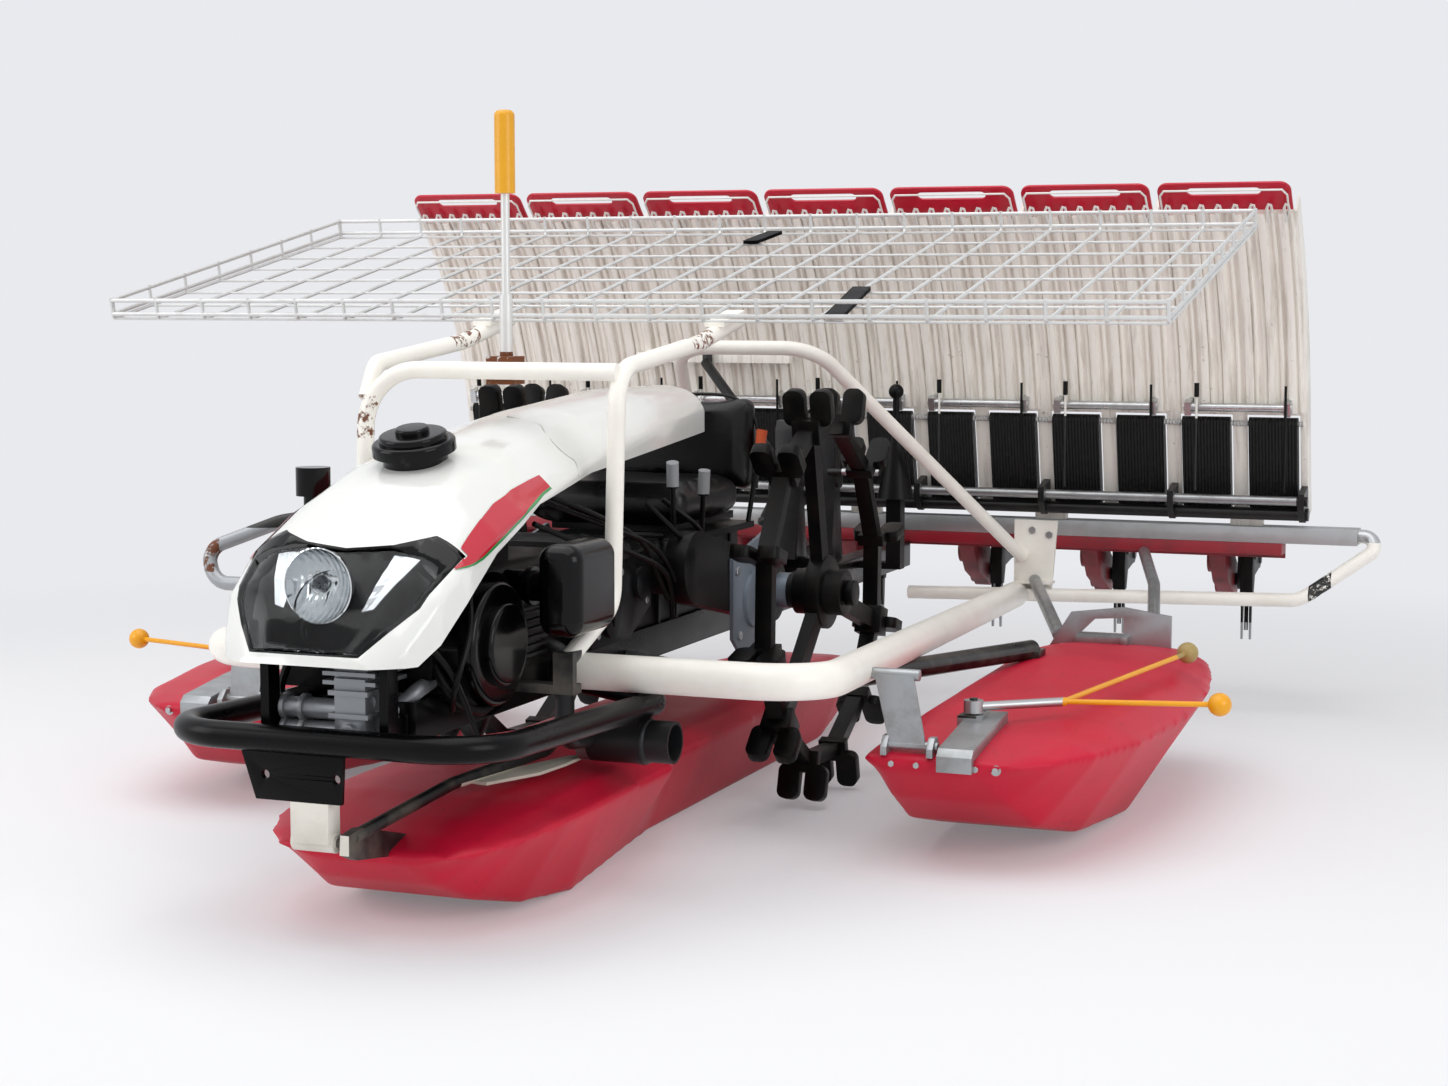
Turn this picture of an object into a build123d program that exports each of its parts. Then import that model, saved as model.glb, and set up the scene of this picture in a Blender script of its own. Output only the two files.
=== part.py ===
"""Seven-row rice transplanter with a paddy wheel on each side, three floats and a seedling table.

Everything is laid out in millimetres from the wheel axle: X to the machine's left, Y to its
rear, Z up from the ground. save() then shifts each piece along Y, so that the origin of the
finished model is on the ground in the middle of its length.
"""
from build123d import *
import os
from math import cos, radians, sin, tan

os.makedirs("parts", exist_ok=True)

# ---------------------------------------------------------------- driving dimensions
# Rows and seedling table
ROWS = 7
ROW_PITCH = 250
ROW_X = [(i - (ROWS - 1) / 2) * ROW_PITCH for i in range(ROWS)]
TABLE_HALF = ROWS * ROW_PITCH / 2
TABLE_FOOT = (1040, 378)  # Y and Z of the front skin's lower end
FOOT_LEAN = 13  # degrees forwards from the vertical
HEAD_LEAN = 45
FOOT_RUN = 205  # straight stretch beside the feed belts
CURVE_R = 760
SKIN = 4
SIDE_WALL = 42

# Paddy wheels and the arms that carry them
WHEEL_X = 262
WHEEL_R = 330
RIM_R = 278  # to the corners of the rim
RIM_DEPTH = 20
RIM_WIDTH = 26
LUGS = 12
LUG_TURN = 13  # degrees from the rear, to the first lug
EAR = (34, 56, 22)  # an ear's width, length and distance from the rim's middle
SPOKES = 3
HUB_HALF = 40
AXLE_R = 14
RUNNING_FIT = 0.06
ARM_X = (150, 190)
ARM_PIVOT = (-330, 400)  # Y and Z

# Frame
RAIL_X = (60, 100)
RAIL_Z = (258, 308)
BEAM = (1018, 1070, 306, 328.7)  # Y from and to, Z from and to
BEAM_HALF = 830
SOCKET_X = 126  # outer face of the sockets for the side tubes
SIDE_Y = -636  # the side tubes leave the frame here

# Nose of the hood, and the bumper round it
NOSE_Y = -1134
BUMPER_Y = -1103
BUMPER_HALF = 224
BUMPER_Z = 265
BUMPER_D = 34

# Spare seedling rack: floor wires' front end, then the slope
RACK_HALF = 860
RACK_FRONT = (-285, 758)
RACK_DEPTH = 752
RACK_TILT = 11.3
RACK_RIM = 33
WIRE_D = 6

# Slide rail under the table
RAIL_Y = (1018, 1074)
SLIDE_Z = (329, 359)
SLIDE_HALF = 968

# Planting cranks and arms
CRANK_Y = 1215
CRANK_Z = 235
CRANK_THROW = 42
PIN_R = 9
CASE_R = 34

# The model's origin is halfway along this length
REAR_Y = CRANK_Y + CASE_R
ORIGIN_Y = (NOSE_Y + REAR_Y) / 2


# ---------------------------------------------------------------- helpers
def save(made, name):
    """Labels a finished piece, moves it to the model's origin and writes its file."""
    shape = made.part if isinstance(made, BuildPart) else made
    shape = Pos(0, -ORIGIN_Y, 0) * shape
    shape.label = name
    export_step(shape, f"parts/{name}.step")


def save_pair(made, name):
    """Writes a left piece and its mirror image on the right as two nodes."""
    save(made, name + "_left")
    save(made.part.mirror(Plane.YZ), name + "_right")


def save_both(made, name):
    """Writes a left piece and its mirror image on the right as one node."""
    save(made.part + made.part.mirror(Plane.YZ), name)


def rod(points, diameter, bend=None):
    """Adds a round bar or tube along its corner points, bent with one radius or one for each."""
    with BuildLine() as path:
        if bend is None:
            Polyline(*points)
        else:
            FilletPolyline(*points, radius=bend)
    with BuildSketch(Plane(origin=path.line @ 0, z_dir=path.line % 0)) as section:
        Circle(diameter / 2)
    sweep(section.sketch, path=path.line)


def block(x, y, z, mode=Mode.ADD):
    """Adds a box between two values on each axis."""
    with Locations(((x[0] + x[1]) / 2, (y[0] + y[1]) / 2, (z[0] + z[1]) / 2)):
        Box(x[1] - x[0], y[1] - y[0], z[1] - z[0], mode=mode)


def drum(centre, axis, radius, length, mode=Mode.ADD):
    """Adds a cylinder that starts at centre and runs along axis."""
    with BuildSketch(Plane(origin=centre, z_dir=axis)) as section:
        Circle(radius)
    extrude(section.sketch, amount=length, mode=mode)


def side_plate(outline, x, mode=Mode.ADD):
    """Adds a plate whose outline is in Y and Z, between two values of X."""
    with BuildSketch(Plane.YZ.offset(x[0])) as section:
        with BuildLine():
            Polyline(*outline, close=True)
        make_face()
    extrude(section.sketch, amount=x[1] - x[0], mode=mode)


def front_plate(outline, y, mode=Mode.ADD):
    """Adds a plate whose outline is in X and Z, between two values of Y."""
    with BuildSketch(Plane.XZ.offset(-y[1])) as section:
        with BuildLine():
            Polyline(*outline, close=True)
        make_face()
    extrude(section.sketch, amount=y[1] - y[0], mode=mode)


def flat_plate(outline, z, mode=Mode.ADD):
    """Adds a plate whose outline is in X and Y, between two heights."""
    with BuildSketch(Plane.XY.offset(z[0])) as section:
        with BuildLine():
            Polyline(*outline, close=True)
        make_face()
    extrude(section.sketch, amount=z[1] - z[0], mode=mode)


# ---------------------------------------------------------------- paddy wheels
# Flat-sided rim, three spokes, and a lug with two ears across each corner of the rim
with BuildPart() as wheel:
    with BuildSketch(Plane.YZ.offset(-RIM_WIDTH / 2)):
        RegularPolygon(RIM_R, LUGS, rotation=LUG_TURN)
        RegularPolygon(RIM_R - RIM_DEPTH, LUGS, rotation=LUG_TURN, mode=Mode.SUBTRACT)
    extrude(amount=RIM_WIDTH)
    for i in range(SPOKES):
        turn = radians(LUG_TURN - 30 + 360 / SPOKES * i)
        outward = (0, cos(turn), sin(turn))
        with BuildSketch(Plane(origin=(0, 0, 0), x_dir=(1, 0, 0), z_dir=outward)) as spoke:
            Rectangle(20, 30)
        extrude(spoke.sketch, amount=RIM_R - RIM_DEPTH / 2)
        with BuildSketch(Plane(origin=(0, (RIM_R - 30) * cos(turn), (RIM_R - 30) * sin(turn)),
                               x_dir=(1, 0, 0), z_dir=outward)) as shoe:
            Rectangle(44, 46)
        extrude(shoe.sketch, amount=38)
    for i in range(LUGS):
        turn = radians(LUG_TURN + 360 / LUGS * i)
        tangent = (0, -sin(turn), cos(turn))
        with BuildSketch(Plane(origin=(0, 0, 0), x_dir=(1, 0, 0), z_dir=tangent)) as lug:
            with Locations((0, RIM_R - 8)):
                Rectangle(2 * EAR[2], 34)
            with Locations((-EAR[2], WHEEL_R - EAR[1] / 2), (EAR[2], WHEEL_R - EAR[1] / 2)):
                RectangleRounded(EAR[0], EAR[1], 13)
        extrude(lug.sketch, amount=9, both=True)
    drum((-HUB_HALF, 0, 0), (1, 0, 0), 36, 2 * HUB_HALF)
    drum((-12, 0, 0), (1, 0, 0), 58, 24)
    drum((-HUB_HALF - 1, 0, 0), (1, 0, 0), AXLE_R + RUNNING_FIT, 2 * HUB_HALF + 2, Mode.SUBTRACT)
save(Pos(WHEEL_X, 0, WHEEL_R) * wheel.part, "wheel_left")
save(Pos(-WHEEL_X, 0, WHEEL_R) * wheel.part.mirror(Plane.YZ), "wheel_right")

# Chain case, the mud shield outside it, and the axle with its end nut
SHIELD = [(-64, 430), (-30, 395), (-16, 332), (-52, 276), (-95, 244), (-170, 250), (-204, 277), (-204, 399)]
with BuildPart() as wheel_arm:
    with BuildSketch(Plane.YZ.offset(ARM_X[0])) as case:
        with Locations(ARM_PIVOT):
            Circle(54)
        with Locations((0, WHEEL_R)):
            Circle(50)
        with BuildLine():
            Polyline((-322, 453), (-342, 348), (-10, 281), (10, 379), close=True)
        make_face()
    extrude(case.sketch, amount=ARM_X[1] - ARM_X[0] - 6)
    side_plate(SHIELD, (ARM_X[1] - 6, ARM_X[1]))
    drum((ARM_X[1] - 6, -118, 330), (1, 0, 0), 44, 12)
    drum((ARM_X[1], 0, WHEEL_R), (1, 0, 0), 28, WHEEL_X - HUB_HALF - 2 - ARM_X[1])
    drum((ARM_X[1], 0, WHEEL_R), (1, 0, 0), AXLE_R, WHEEL_X + HUB_HALF + 2 - ARM_X[1])
    drum((WHEEL_X + HUB_HALF + 2, 0, WHEEL_R), (1, 0, 0), 20, 14)
save_pair(wheel_arm, "wheel_arm")

# ---------------------------------------------------------------- frame
RAIL_START = -1040
with BuildPart() as main_frame:
    for side in (-1, 1):
        outer, inner = sorted((side * RAIL_X[0], side * RAIL_X[1]))
        block((outer, inner), (RAIL_START, BEAM[0]), RAIL_Z)
        inner, outer = sorted((side * RAIL_X[1], side * SOCKET_X))
        block((inner, outer), (SIDE_Y - 32, SIDE_Y + 32), (262, 306))
        inner, outer = sorted((side * 76, side * 88))
        block((inner, outer), (BUMPER_Y + BUMPER_D / 2, -1060), (250, 357))
        block((inner, outer), (BUMPER_Y + BUMPER_D / 2, RAIL_START), (262, 292))
    for y in (-985, -560, -120, 420, 700):
        block((-RAIL_X[0], RAIL_X[0]), (y - 15, y + 15), (RAIL_Z[0] + 6, RAIL_Z[1] - 6))
save(main_frame, "main_frame")

# Gear case with the cross shaft of the wheel arms, its round covers, and the belt case beside it
with BuildPart() as transmission:
    block((-96, 96), (-430, 60), (RAIL_Z[1], 440))
    fillet(transmission.edges().filter_by(Axis.Y).group_by(Axis.Z)[-1], 30)
    drum((-ARM_X[0], *ARM_PIVOT), (1, 0, 0), 42, 2 * ARM_X[0])
    drum((-104, -120, 372), (1, 0, 0), 46, 208)
    for y in (-395, -280, -210, -40, 20):
        block((-100, 100), (y - 4, y + 4), (RAIL_Z[1], 425))
    side_plate([(-600, 312), (-600, 392), (-500, 430), (-392, 430), (-392, 352), (-470, 312)], (96, 134))
    drum((134, -540, 352), (1, 0, 0), 30, 8)
    drum((134, -436, 388), (1, 0, 0), 24, 8)
    block((-100, 100), (-230, 30), (440, 452))
save(transmission, "transmission")


# Flat beam of the planting section under the slide rail, with a lip along its rear
with BuildPart() as planting_beam:
    block((-BEAM_HALF, BEAM_HALF), BEAM[:2], BEAM[2:])
    block((-BEAM_HALF, BEAM_HALF), (BEAM[1] - 4, BEAM[1]), (BEAM[2] - 10, BEAM[2]))
save(planting_beam, "planting_beam")

# Channel that the seedling table slides along
with BuildPart() as slide_rail:
    block((-SLIDE_HALF, SLIDE_HALF), RAIL_Y, SLIDE_Z)
    block((-SLIDE_HALF, SLIDE_HALF), (RAIL_Y[0] + 5, RAIL_Y[1] - 5), (SLIDE_Z[0] + 5, SLIDE_Z[1]), Mode.SUBTRACT)
save(slide_rail, "slide_rail")

# Side tubes: out from the engine, then back and in to the planting beam
with BuildPart() as side_tube:
    rod([(SOCKET_X, SIDE_Y, 290), (477, SIDE_Y, 290), (326, 974, 214)], 50, 90)
save_both(side_tube, "side_tubes")

# Guard tubes round the ends of the slide rail, on plates that join the side, guard and gate tubes
GUARD_D = 26
with BuildPart() as guard_tube:
    rod([(106, 990, 208), (869, 990, 226), (1034, 1046, 345), (SLIDE_HALF, 1046, 345)], GUARD_D, [60, 20])
    front_plate([(314, 199), (388, 199), (400, 358), (314, 358)], (1012, 1018))
    block((335, 375), (995, 1012), (200, 226))
    block((322, 396), (978, 1012), (236, 241))
save_both(guard_tube, "guard_tubes")

# Arched tube over the wheels
GATE_D = 25
with BuildPart() as gate_tube:
    rod([(330.5, 1010.5, 285.7), (127, 350, 705), (-127, 350, 705), (-330.5, 1010.5, 285.7)], GATE_D, 75)
    add(guard_tube.part, mode=Mode.SUBTRACT)
    add(guard_tube.part.mirror(Plane.YZ), mode=Mode.SUBTRACT)
save(gate_tube, "gate_tube")

# ---------------------------------------------------------------- nose
BUMPER_FOOT = (-560, 243)  # Y and Z where its side tubes turn in to the frame
with BuildPart() as bumper:
    rod([(RAIL_X[1], BUMPER_FOOT[0], BUMPER_FOOT[1] + 20), (BUMPER_HALF, *BUMPER_FOOT),
         (BUMPER_HALF, BUMPER_Y, BUMPER_Z), (-BUMPER_HALF, BUMPER_Y, BUMPER_Z),
         (-BUMPER_HALF, *BUMPER_FOOT), (-RAIL_X[1], BUMPER_FOOT[0], BUMPER_FOOT[1] + 20)],
        BUMPER_D, [45, 90, 90, 45])
    add(main_frame.part, mode=Mode.SUBTRACT)
save(bumper, "bumper")

# Plate below the bumper, with two bolt holes
HITCH_HOLES = [(-70, 221), (28, 221)]
with BuildPart() as tow_plate:
    front_plate([(-108, 262), (38, 262), (34, 190), (-84, 190)], (BUMPER_Y - 4, BUMPER_Y + 4))
    for x, z in HITCH_HOLES:
        drum((x, BUMPER_Y - 5, z), (0, 1, 0), 5.5, 10, Mode.SUBTRACT)
    add(bumper.part, mode=Mode.SUBTRACT)
save(tow_plate, "tow_plate")

# Cast front end between the uprights: a finned head on a flanged column, two cylinders that lie
# across the machine, and an arm back to the engine
CASTING_Y = (-1084, -1022)
with BuildPart() as front_casting:
    block((14, 56), CASTING_Y, (254, 340))
    for z in (254, 292, 320):
        block((8, 62), (CASTING_Y[0] - 5, CASTING_Y[1]), (z, z + 6))
    for z in (332, 343, 354):
        block((-2, 70), (CASTING_Y[0], -1006), (z, z + 5))
    block((10, 56), (CASTING_Y[0] + 8, -1006), (332, 362))
    for z in (270, 298):
        drum((14, -1062, z), (-1, 0, 0), 13, 76)
        drum((-36, -1062, z), (-1, 0, 0), 17, 6)
        drum((-62, -1062, z), (-1, 0, 0), 17, 6)
    drum((36, CASTING_Y[0], 274), (0, -1, 0), 12, 10)
    block((56, 74), (-1060, -1030), (262, 300))
    rod([(60, -1040, 284), (90, -1020, 318), (90, -960, 330)], 20, 16)
    add(main_frame.part, mode=Mode.SUBTRACT)
    add(bumper.part, mode=Mode.SUBTRACT)
save(front_casting, "front_casting")

CAP_HOLE = 42
CAP_PLACE = Plane(origin=(0, -849, 596), z_dir=(0, -sin(radians(13)), cos(radians(13))))

# Closed engine with its tank under the cap, one block at its real size, and the finned head beside it
with BuildPart() as engine:
    block((-122, 104), (-980, -600), (RAIL_Z[1], 452))
    fillet(engine.edges().filter_by(Axis.Y).group_by(Axis.Z)[-1], 24)
    for i in range(6):
        block((104, 128), (-806, -726), (328 + 11 * i, 333 + 11 * i))
    block((104, 120), (-800, -732), (322, 392))
    drum((104, -640, 424), (1, 0, 0), 20, 36)
    drum((128, -640, 424), (1, 0, 0), 26, 6)
    block((60, 104), (-1004, -980), (330, 371))
    block((-80, 80), (-900, -745), (452, 536))
    with BuildSketch(CAP_PLACE.offset(-70)) as neck:
        Circle(CAP_HOLE - 6)
    extrude(neck.sketch, amount=48)
    add(front_casting.part, mode=Mode.SUBTRACT)
save(engine, "engine")

# Fan cover with its raised centre, rim screws' lugs and the pull handle
STARTER = (-905, 364)
with BuildPart() as recoil_starter:
    drum((104, *STARTER), (1, 0, 0), 90, 30)
    drum((134, *STARTER), (1, 0, 0), 78, 16)
    fillet(recoil_starter.edges().filter_by(GeomType.CIRCLE).group_by(Axis.X)[-1], 7)
    drum((150, *STARTER), (1, 0, 0), 52, 12)
    fillet(recoil_starter.edges().filter_by(GeomType.CIRCLE).group_by(Axis.X)[-1], 6)
    for turn in (35, 145, 215, 325):
        drum((104, STARTER[0] + 92 * cos(radians(turn)), STARTER[1] + 92 * sin(radians(turn))), (1, 0, 0), 9, 22)
save(recoil_starter, "recoil_starter")

# Moulded air cleaner on its intake elbow
with BuildPart() as air_cleaner:
    block((176, 236), (-868, -735), (368, 486))
    fillet(air_cleaner.edges(), 22)
    side_plate([(-868, 404), (-864, 404), (-864, 440), (-868, 440)], (196, 216))
    drum((104, -797, 425), (1, 0, 0), 20, 74)
    drum((136, -797, 425), (1, 0, 0), 25, 8)
save(air_cleaner, "air_cleaner")

# Exhaust: bent pipe, drum with a collar, and a mouth that opens to the left
MUFFLER = (-606, 194)  # Y and Z of its axis
MUFFLER_X = (124, 226, 260)  # drum from and to, mouth
MOUTH_R = 25
with BuildPart() as muffler:
    rod([(104, -705, 330), (142, -705, 330), (142, -705, 206), (142, MUFFLER[0], MUFFLER[1])], 26, [24, 30])
    drum((MUFFLER_X[0], *MUFFLER), (1, 0, 0), 32, MUFFLER_X[1] - MUFFLER_X[0])
    fillet(muffler.edges().filter_by(GeomType.CIRCLE).group_by(Axis.X)[-1], 6)
    drum((MUFFLER_X[1] - 16, *MUFFLER), (1, 0, 0), 33, 8)
    drum((MUFFLER_X[1] - 1, *MUFFLER), (1, 0, 0), MOUTH_R + 4, MUFFLER_X[2] - MUFFLER_X[1] + 1)
    drum((MUFFLER_X[1] + 4, *MUFFLER), (1, 0, 0), MOUTH_R, 60, Mode.SUBTRACT)
    block((118, 124), (MUFFLER[0] - 20, MUFFLER[0] + 20), (184, 204))
    add(engine.part, mode=Mode.SUBTRACT)
save(muffler, "muffler")

# Hood: a lofted shell. Each station is Y, half width, shoulder height, top height.
HOOD_STATIONS = [
    (NOSE_Y, 92, 366, 373),
    (-1105, 124, 398, 410),
    (-1060, 146, 446, 462),
    (-1000, 152, 488, 513),
    (-925, 154, 520, 560),
    (-850, 153, 540, 590),
    (-740, 145, 562, 610),
    (-500, 122, 598, 639),
    (-250, 98, 622, 656),
    (-35, 76, 632, 654),
]
HOOD_SKIN = 4
HOOD_BASE = 330  # the sections start here, and the lower edge is cut afterwards
HOOD_EDGE = [(-1150, 361), (-1090, 361), (-1000, 428), (-925, 480), (-790, 530), (-590, 556), (-20, 582)]


def hood_form(inset):
    """Lofts the hood's outer or inner form and returns it."""
    with BuildPart() as form:
        for y, half, shoulder, top in HOOD_STATIONS:
            end = inset if y < -1100 else 0
            with BuildSketch(Plane.XZ.offset(-y - end)):
                with BuildLine():
                    foot = Line((half - inset, HOOD_BASE), (half - inset, shoulder - 18 - inset))
                    curve = ThreePointArc(
                        (half - inset, shoulder - 18 - inset), (half * 0.87 - inset, shoulder - inset),
                        (half * 0.6, (shoulder + 2 * top) / 3 - inset))
                    crown = ThreePointArc(
                        (half * 0.6, (shoulder + 2 * top) / 3 - inset), (0, top - inset),
                        (-half * 0.6, (shoulder + 2 * top) / 3 - inset))
                    mirror(curve, about=Plane.YZ)
                    mirror(foot, about=Plane.YZ)
                    Line((inset - half, HOOD_BASE), (half - inset, HOOD_BASE))
                make_face()
        loft(ruled=True)
    return form.part


hood_outer = hood_form(0)
LAMP_OUTLINE = [(-74, 374), (74, 374), (126, 428), (156, 516), (112, 508), (60, 496), (0, 491),
                (-60, 496), (-112, 508), (-156, 516), (-126, 428)]
with BuildPart() as hood:
    add(hood_outer)
    add(hood_form(HOOD_SKIN), mode=Mode.SUBTRACT)
    side_plate([(-1160, 300), *HOOD_EDGE, (-20, 300)], (-200, 200), Mode.SUBTRACT)
    front_plate(LAMP_OUTLINE, (-1150, -990), Mode.SUBTRACT)
    with BuildSketch(CAP_PLACE.offset(-30)):
        Circle(CAP_HOLE)
    extrude(amount=60, mode=Mode.SUBTRACT)
save(hood, "hood")

# Wrap-around lamp that fills the hood's opening
with BuildPart() as headlamp:
    add(hood_outer)
    front_plate(LAMP_OUTLINE, (-1150, -990), Mode.INTERSECT)
save(headlamp, "headlamp")

CAP_STEPS = ((54, 2, 16, 5), (44, 18, 9, 4), (22, 27, 8, 3))  # radius, start, height, rounding
with BuildPart() as fuel_cap:
    with BuildSketch(CAP_PLACE.offset(-22)) as neck:
        Circle(CAP_HOLE - 0.3)
    extrude(neck.sketch, amount=24)
    for radius, start, height, rounding in CAP_STEPS:
        with BuildSketch(CAP_PLACE.offset(start)) as disc:
            Circle(radius)
        extrude(disc.sketch, amount=height)
        rims = fuel_cap.edges().filter_by(GeomType.CIRCLE)
        fillet(rims.sort_by(Axis(CAP_PLACE.origin, CAP_PLACE.z_dir))[-1], rounding)
    add(hood.part, mode=Mode.SUBTRACT)
save(fuel_cap, "fuel_cap")

# Intake with a cap beside the hood, on the right
with BuildPart() as intake_cap:
    rod([(-122, -800, 420), (-180, -800, 420), (-180, -800, 545)], 26, 30)
    drum((-180, -800, 532), (0, 0, 1), 23, 38)
save(intake_cap, "intake_cap")

# Grab handle on the right
with BuildPart() as grab_handle:
    rod([(-122.5, -690, 396), (-402, -700, 394), (-420, -690, 440), (-330, -640, 478), (-240, -620, 492)],
        20, [32, 26, 60])
save(grab_handle, "grab_handle")

# Spare seedling rack: a tilted wire basket
RACK_PLANE = Plane(origin=(0, *RACK_FRONT), x_dir=(1, 0, 0), z_dir=(0, -sin(radians(RACK_TILT)), cos(radians(RACK_TILT))))
LONG_WIRES = 21
CROSS_WIRES = 8
with BuildPart() as rack:
    with BuildSketch(RACK_PLANE.offset(-WIRE_D)):
        with GridLocations(2 * (RACK_HALF - WIRE_D / 2) / (LONG_WIRES - 1), 0, LONG_WIRES, 1):
            with Locations((0, RACK_DEPTH / 2)):
                Rectangle(WIRE_D, RACK_DEPTH)
    extrude(amount=WIRE_D)
    with BuildSketch(RACK_PLANE.offset(-1)):
        for i in range(CROSS_WIRES):
            with Locations((0, WIRE_D / 2 + i * (RACK_DEPTH - WIRE_D) / (CROSS_WIRES - 1))):
                Rectangle(2 * RACK_HALF, WIRE_D)
    extrude(amount=WIRE_D)
    with BuildSketch(RACK_PLANE.offset(-1)):
        for x in (-RACK_HALF, RACK_HALF - WIRE_D):
            with Locations((x + WIRE_D / 2, RACK_DEPTH / 2)):
                Rectangle(WIRE_D, RACK_DEPTH)
        for y in (0, RACK_DEPTH - WIRE_D):
            with Locations((0, y + WIRE_D / 2)):
                Rectangle(2 * RACK_HALF, WIRE_D)
    extrude(amount=RACK_RIM)
save(rack, "rack")

# Posts, crossbar and stubs of the spare seedling rack, on feet from the frame rails
POST_D = 24
STUB_DROP = (POST_D / 2 + WIRE_D + 0.1) / cos(radians(RACK_TILT))  # tube's middle below the wires
STUB_START, STUB_END = [(y, RACK_FRONT[1] + (y - RACK_FRONT[0]) * tan(radians(RACK_TILT)) - STUB_DROP)
                        for y in (-345, -190)]
with BuildPart() as rack_posts:
    for side in (-1, 1):
        inner, outer = sorted((side * RAIL_X[1], side * 204))
        block((inner, outer), (-813, -787), (288, 300))
        inner, outer = sorted((side * 176, side * 204))
        block((inner, outer), (-813, -801), (300, 342))
    rod([(190, -802.9, 330), (190, -655, 385), (190, -635, 698), (190, *STUB_START), (190, *STUB_END)],
        POST_D, [40, 55, 100])
    rod([(-190, -802.9, 330), (-190, -655, 385), (-190, -635, 695), (190, -635, 695)], POST_D, [40, 80])
    rod([(-190, -636, 655), (-190, -610, 702), (-190, *STUB_START), (-190, *STUB_END)], POST_D, [24, 100])
    with BuildSketch(RACK_PLANE.offset(-WIRE_D - 2)):
        with Locations((-190, 45), (190, 45)):
            Rectangle(30, 90)
    extrude(amount=WIRE_D + 1)
save(rack_posts, "rack_posts")

# Sighting pole on the crossbar: sleeve, rod and grip
with BuildPart() as sighting_pole:
    drum((11, -605, 683), (0, 0, 1), 9, 115)
    drum((11, -605, 798), (0, 0, 1), 6, 137)
    drum((11, -605, 935), (0, 0, 1), 14, 112)
    fillet(sighting_pole.edges().filter_by(GeomType.CIRCLE).sort_by(Axis.Z)[-1], 8)
    block((-9, 31), (-628, -590), (676, 714))
    add(rack_posts.part, mode=Mode.SUBTRACT)
save(sighting_pole, "sighting_pole")

# ---------------------------------------------------------------- driver's place
with BuildPart() as seat:
    block((-150, 150), (-8, 34), (478, 638))
    fillet(seat.edges().filter_by(Axis.Y).group_by(Axis.Z)[-1], 45)
    block((-140, 140), (-270, -8), (452, 512))
save(seat, "seat")

# Hand levers with their grips, and the tall lever behind the seat with its boot
HAND_LEVERS = [(144.5, -20, 157, 9, 583), (144.5, -330, 157, -364, 556), (144.5, -220, 157, -239, 536)]  # foot, top
BACK_LEVER = (166, 700)
with BuildPart() as levers:
    for x, y, top_x, top_y, z in HAND_LEVERS:
        rod([(x, y, 440), (top_x, top_y, z)], 8)
        with BuildSketch(Plane(origin=(top_x, top_y, z), z_dir=(x - top_x, y - top_y, 440 - z))) as grip:
            Circle(9)
        extrude(grip.sketch, amount=38)
    block((60, 149), (-345, -5), (430, 440))
    drum((*BACK_LEVER, 300), (0, 0, 1), 6, 310)
    with Locations((*BACK_LEVER, 618)):
        Sphere(14)
    with Locations((*BACK_LEVER, 485)):
        Cone(34, 11, 130)
    block((BACK_LEVER[0] - 14, BACK_LEVER[0] + 14), (BACK_LEVER[1] - 14, BACK_LEVER[1] + 14), (300, 421))
    block((RAIL_X[1], BACK_LEVER[0] + 14), (BACK_LEVER[1] - 14, BACK_LEVER[1] + 14), (288, 300))
    add(transmission.part, mode=Mode.SUBTRACT)
    add(seat.part, mode=Mode.SUBTRACT)
save(levers, "levers")

# ---------------------------------------------------------------- floats
# Stations: Y, bottom from and to in X, bottom Z, rim from and to, rim Z, ridge from and to, ridge Z
CENTRE_STATIONS = [
    (-1004, -66, 66, 100, -122, 122, 108, -84, 84, 111),
    (-960, -86, 86, 62, -158, 158, 114, -92, 92, 124),
    (-900, -108, 108, 32, -184, 184, 120, -95, 95, 136),
    (-820, -132, 132, 12, -198, 198, 126, -95, 95, 146),
    (-700, -146, 146, 0, -196, 196, 126, -95, 95, 152),
    (-440, -112, 112, 0, -192, 192, 124, -92, 92, 152),
    (-330, -100, 100, 0, -142, 142, 118, -85, 85, 146),
    (480, -95, 95, 0, -136, 136, 106, -80, 80, 138),
    (600, -88, 88, 26, -126, 126, 104, -72, 72, 132),
    (700, -60, 60, 96, -95, 95, 108, -50, 50, 120),
]
SIDE_STATIONS = [
    (-440, 500, 640, 146, 466, 690, 158, 500, 640, 164),
    (-390, 500, 668, 96, 466, 740, 160, 512, 662, 172),
    (-320, 502, 694, 52, 466, 778, 160, 520, 686, 182),
    (-190, 505, 722, 20, 466, 812, 159, 534, 694, 194),
    (60, 505, 738, 0, 466, 838, 160, 552, 700, 206),
    (260, 505, 722, 0, 468, 834, 170, 556, 700, 208),
    (400, 512, 704, 36, 476, 812, 178, 556, 694, 205),
    (470, 528, 690, 76, 490, 790, 181, 560, 686, 201),
    (520, 544, 676, 124, 514, 766, 183, 566, 676, 196),
]


def hull(stations):
    """Lofts a float through eight-cornered stations: bottom, rims, shoulders and ridge."""
    sections = []
    for y, bottom_in, bottom_out, bottom, rim_in, rim_out, rim, ridge_in, ridge_out, ridge in stations:
        shoulder = rim + 0.75 * (ridge - rim)
        with BuildSketch(Plane.XZ.offset(-y)) as section:
            with BuildLine():
                Polyline(
                    (bottom_in, bottom), (bottom_out, bottom), (rim_out, rim),
                    (rim_out + 0.4 * (ridge_out - rim_out), shoulder), (ridge_out, ridge), (ridge_in, ridge),
                    (rim_in + 0.4 * (ridge_in - rim_in), shoulder), (rim_in, rim), close=True,
                )
            make_face()
        sections.append(section.sketch)
    loft(sections, ruled=True)


with BuildPart() as centre_float:
    hull(CENTRE_STATIONS)
save(centre_float, "centre_float")

with BuildPart() as side_float:
    hull(SIDE_STATIONS)
save_pair(side_float, "side_float")

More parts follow.
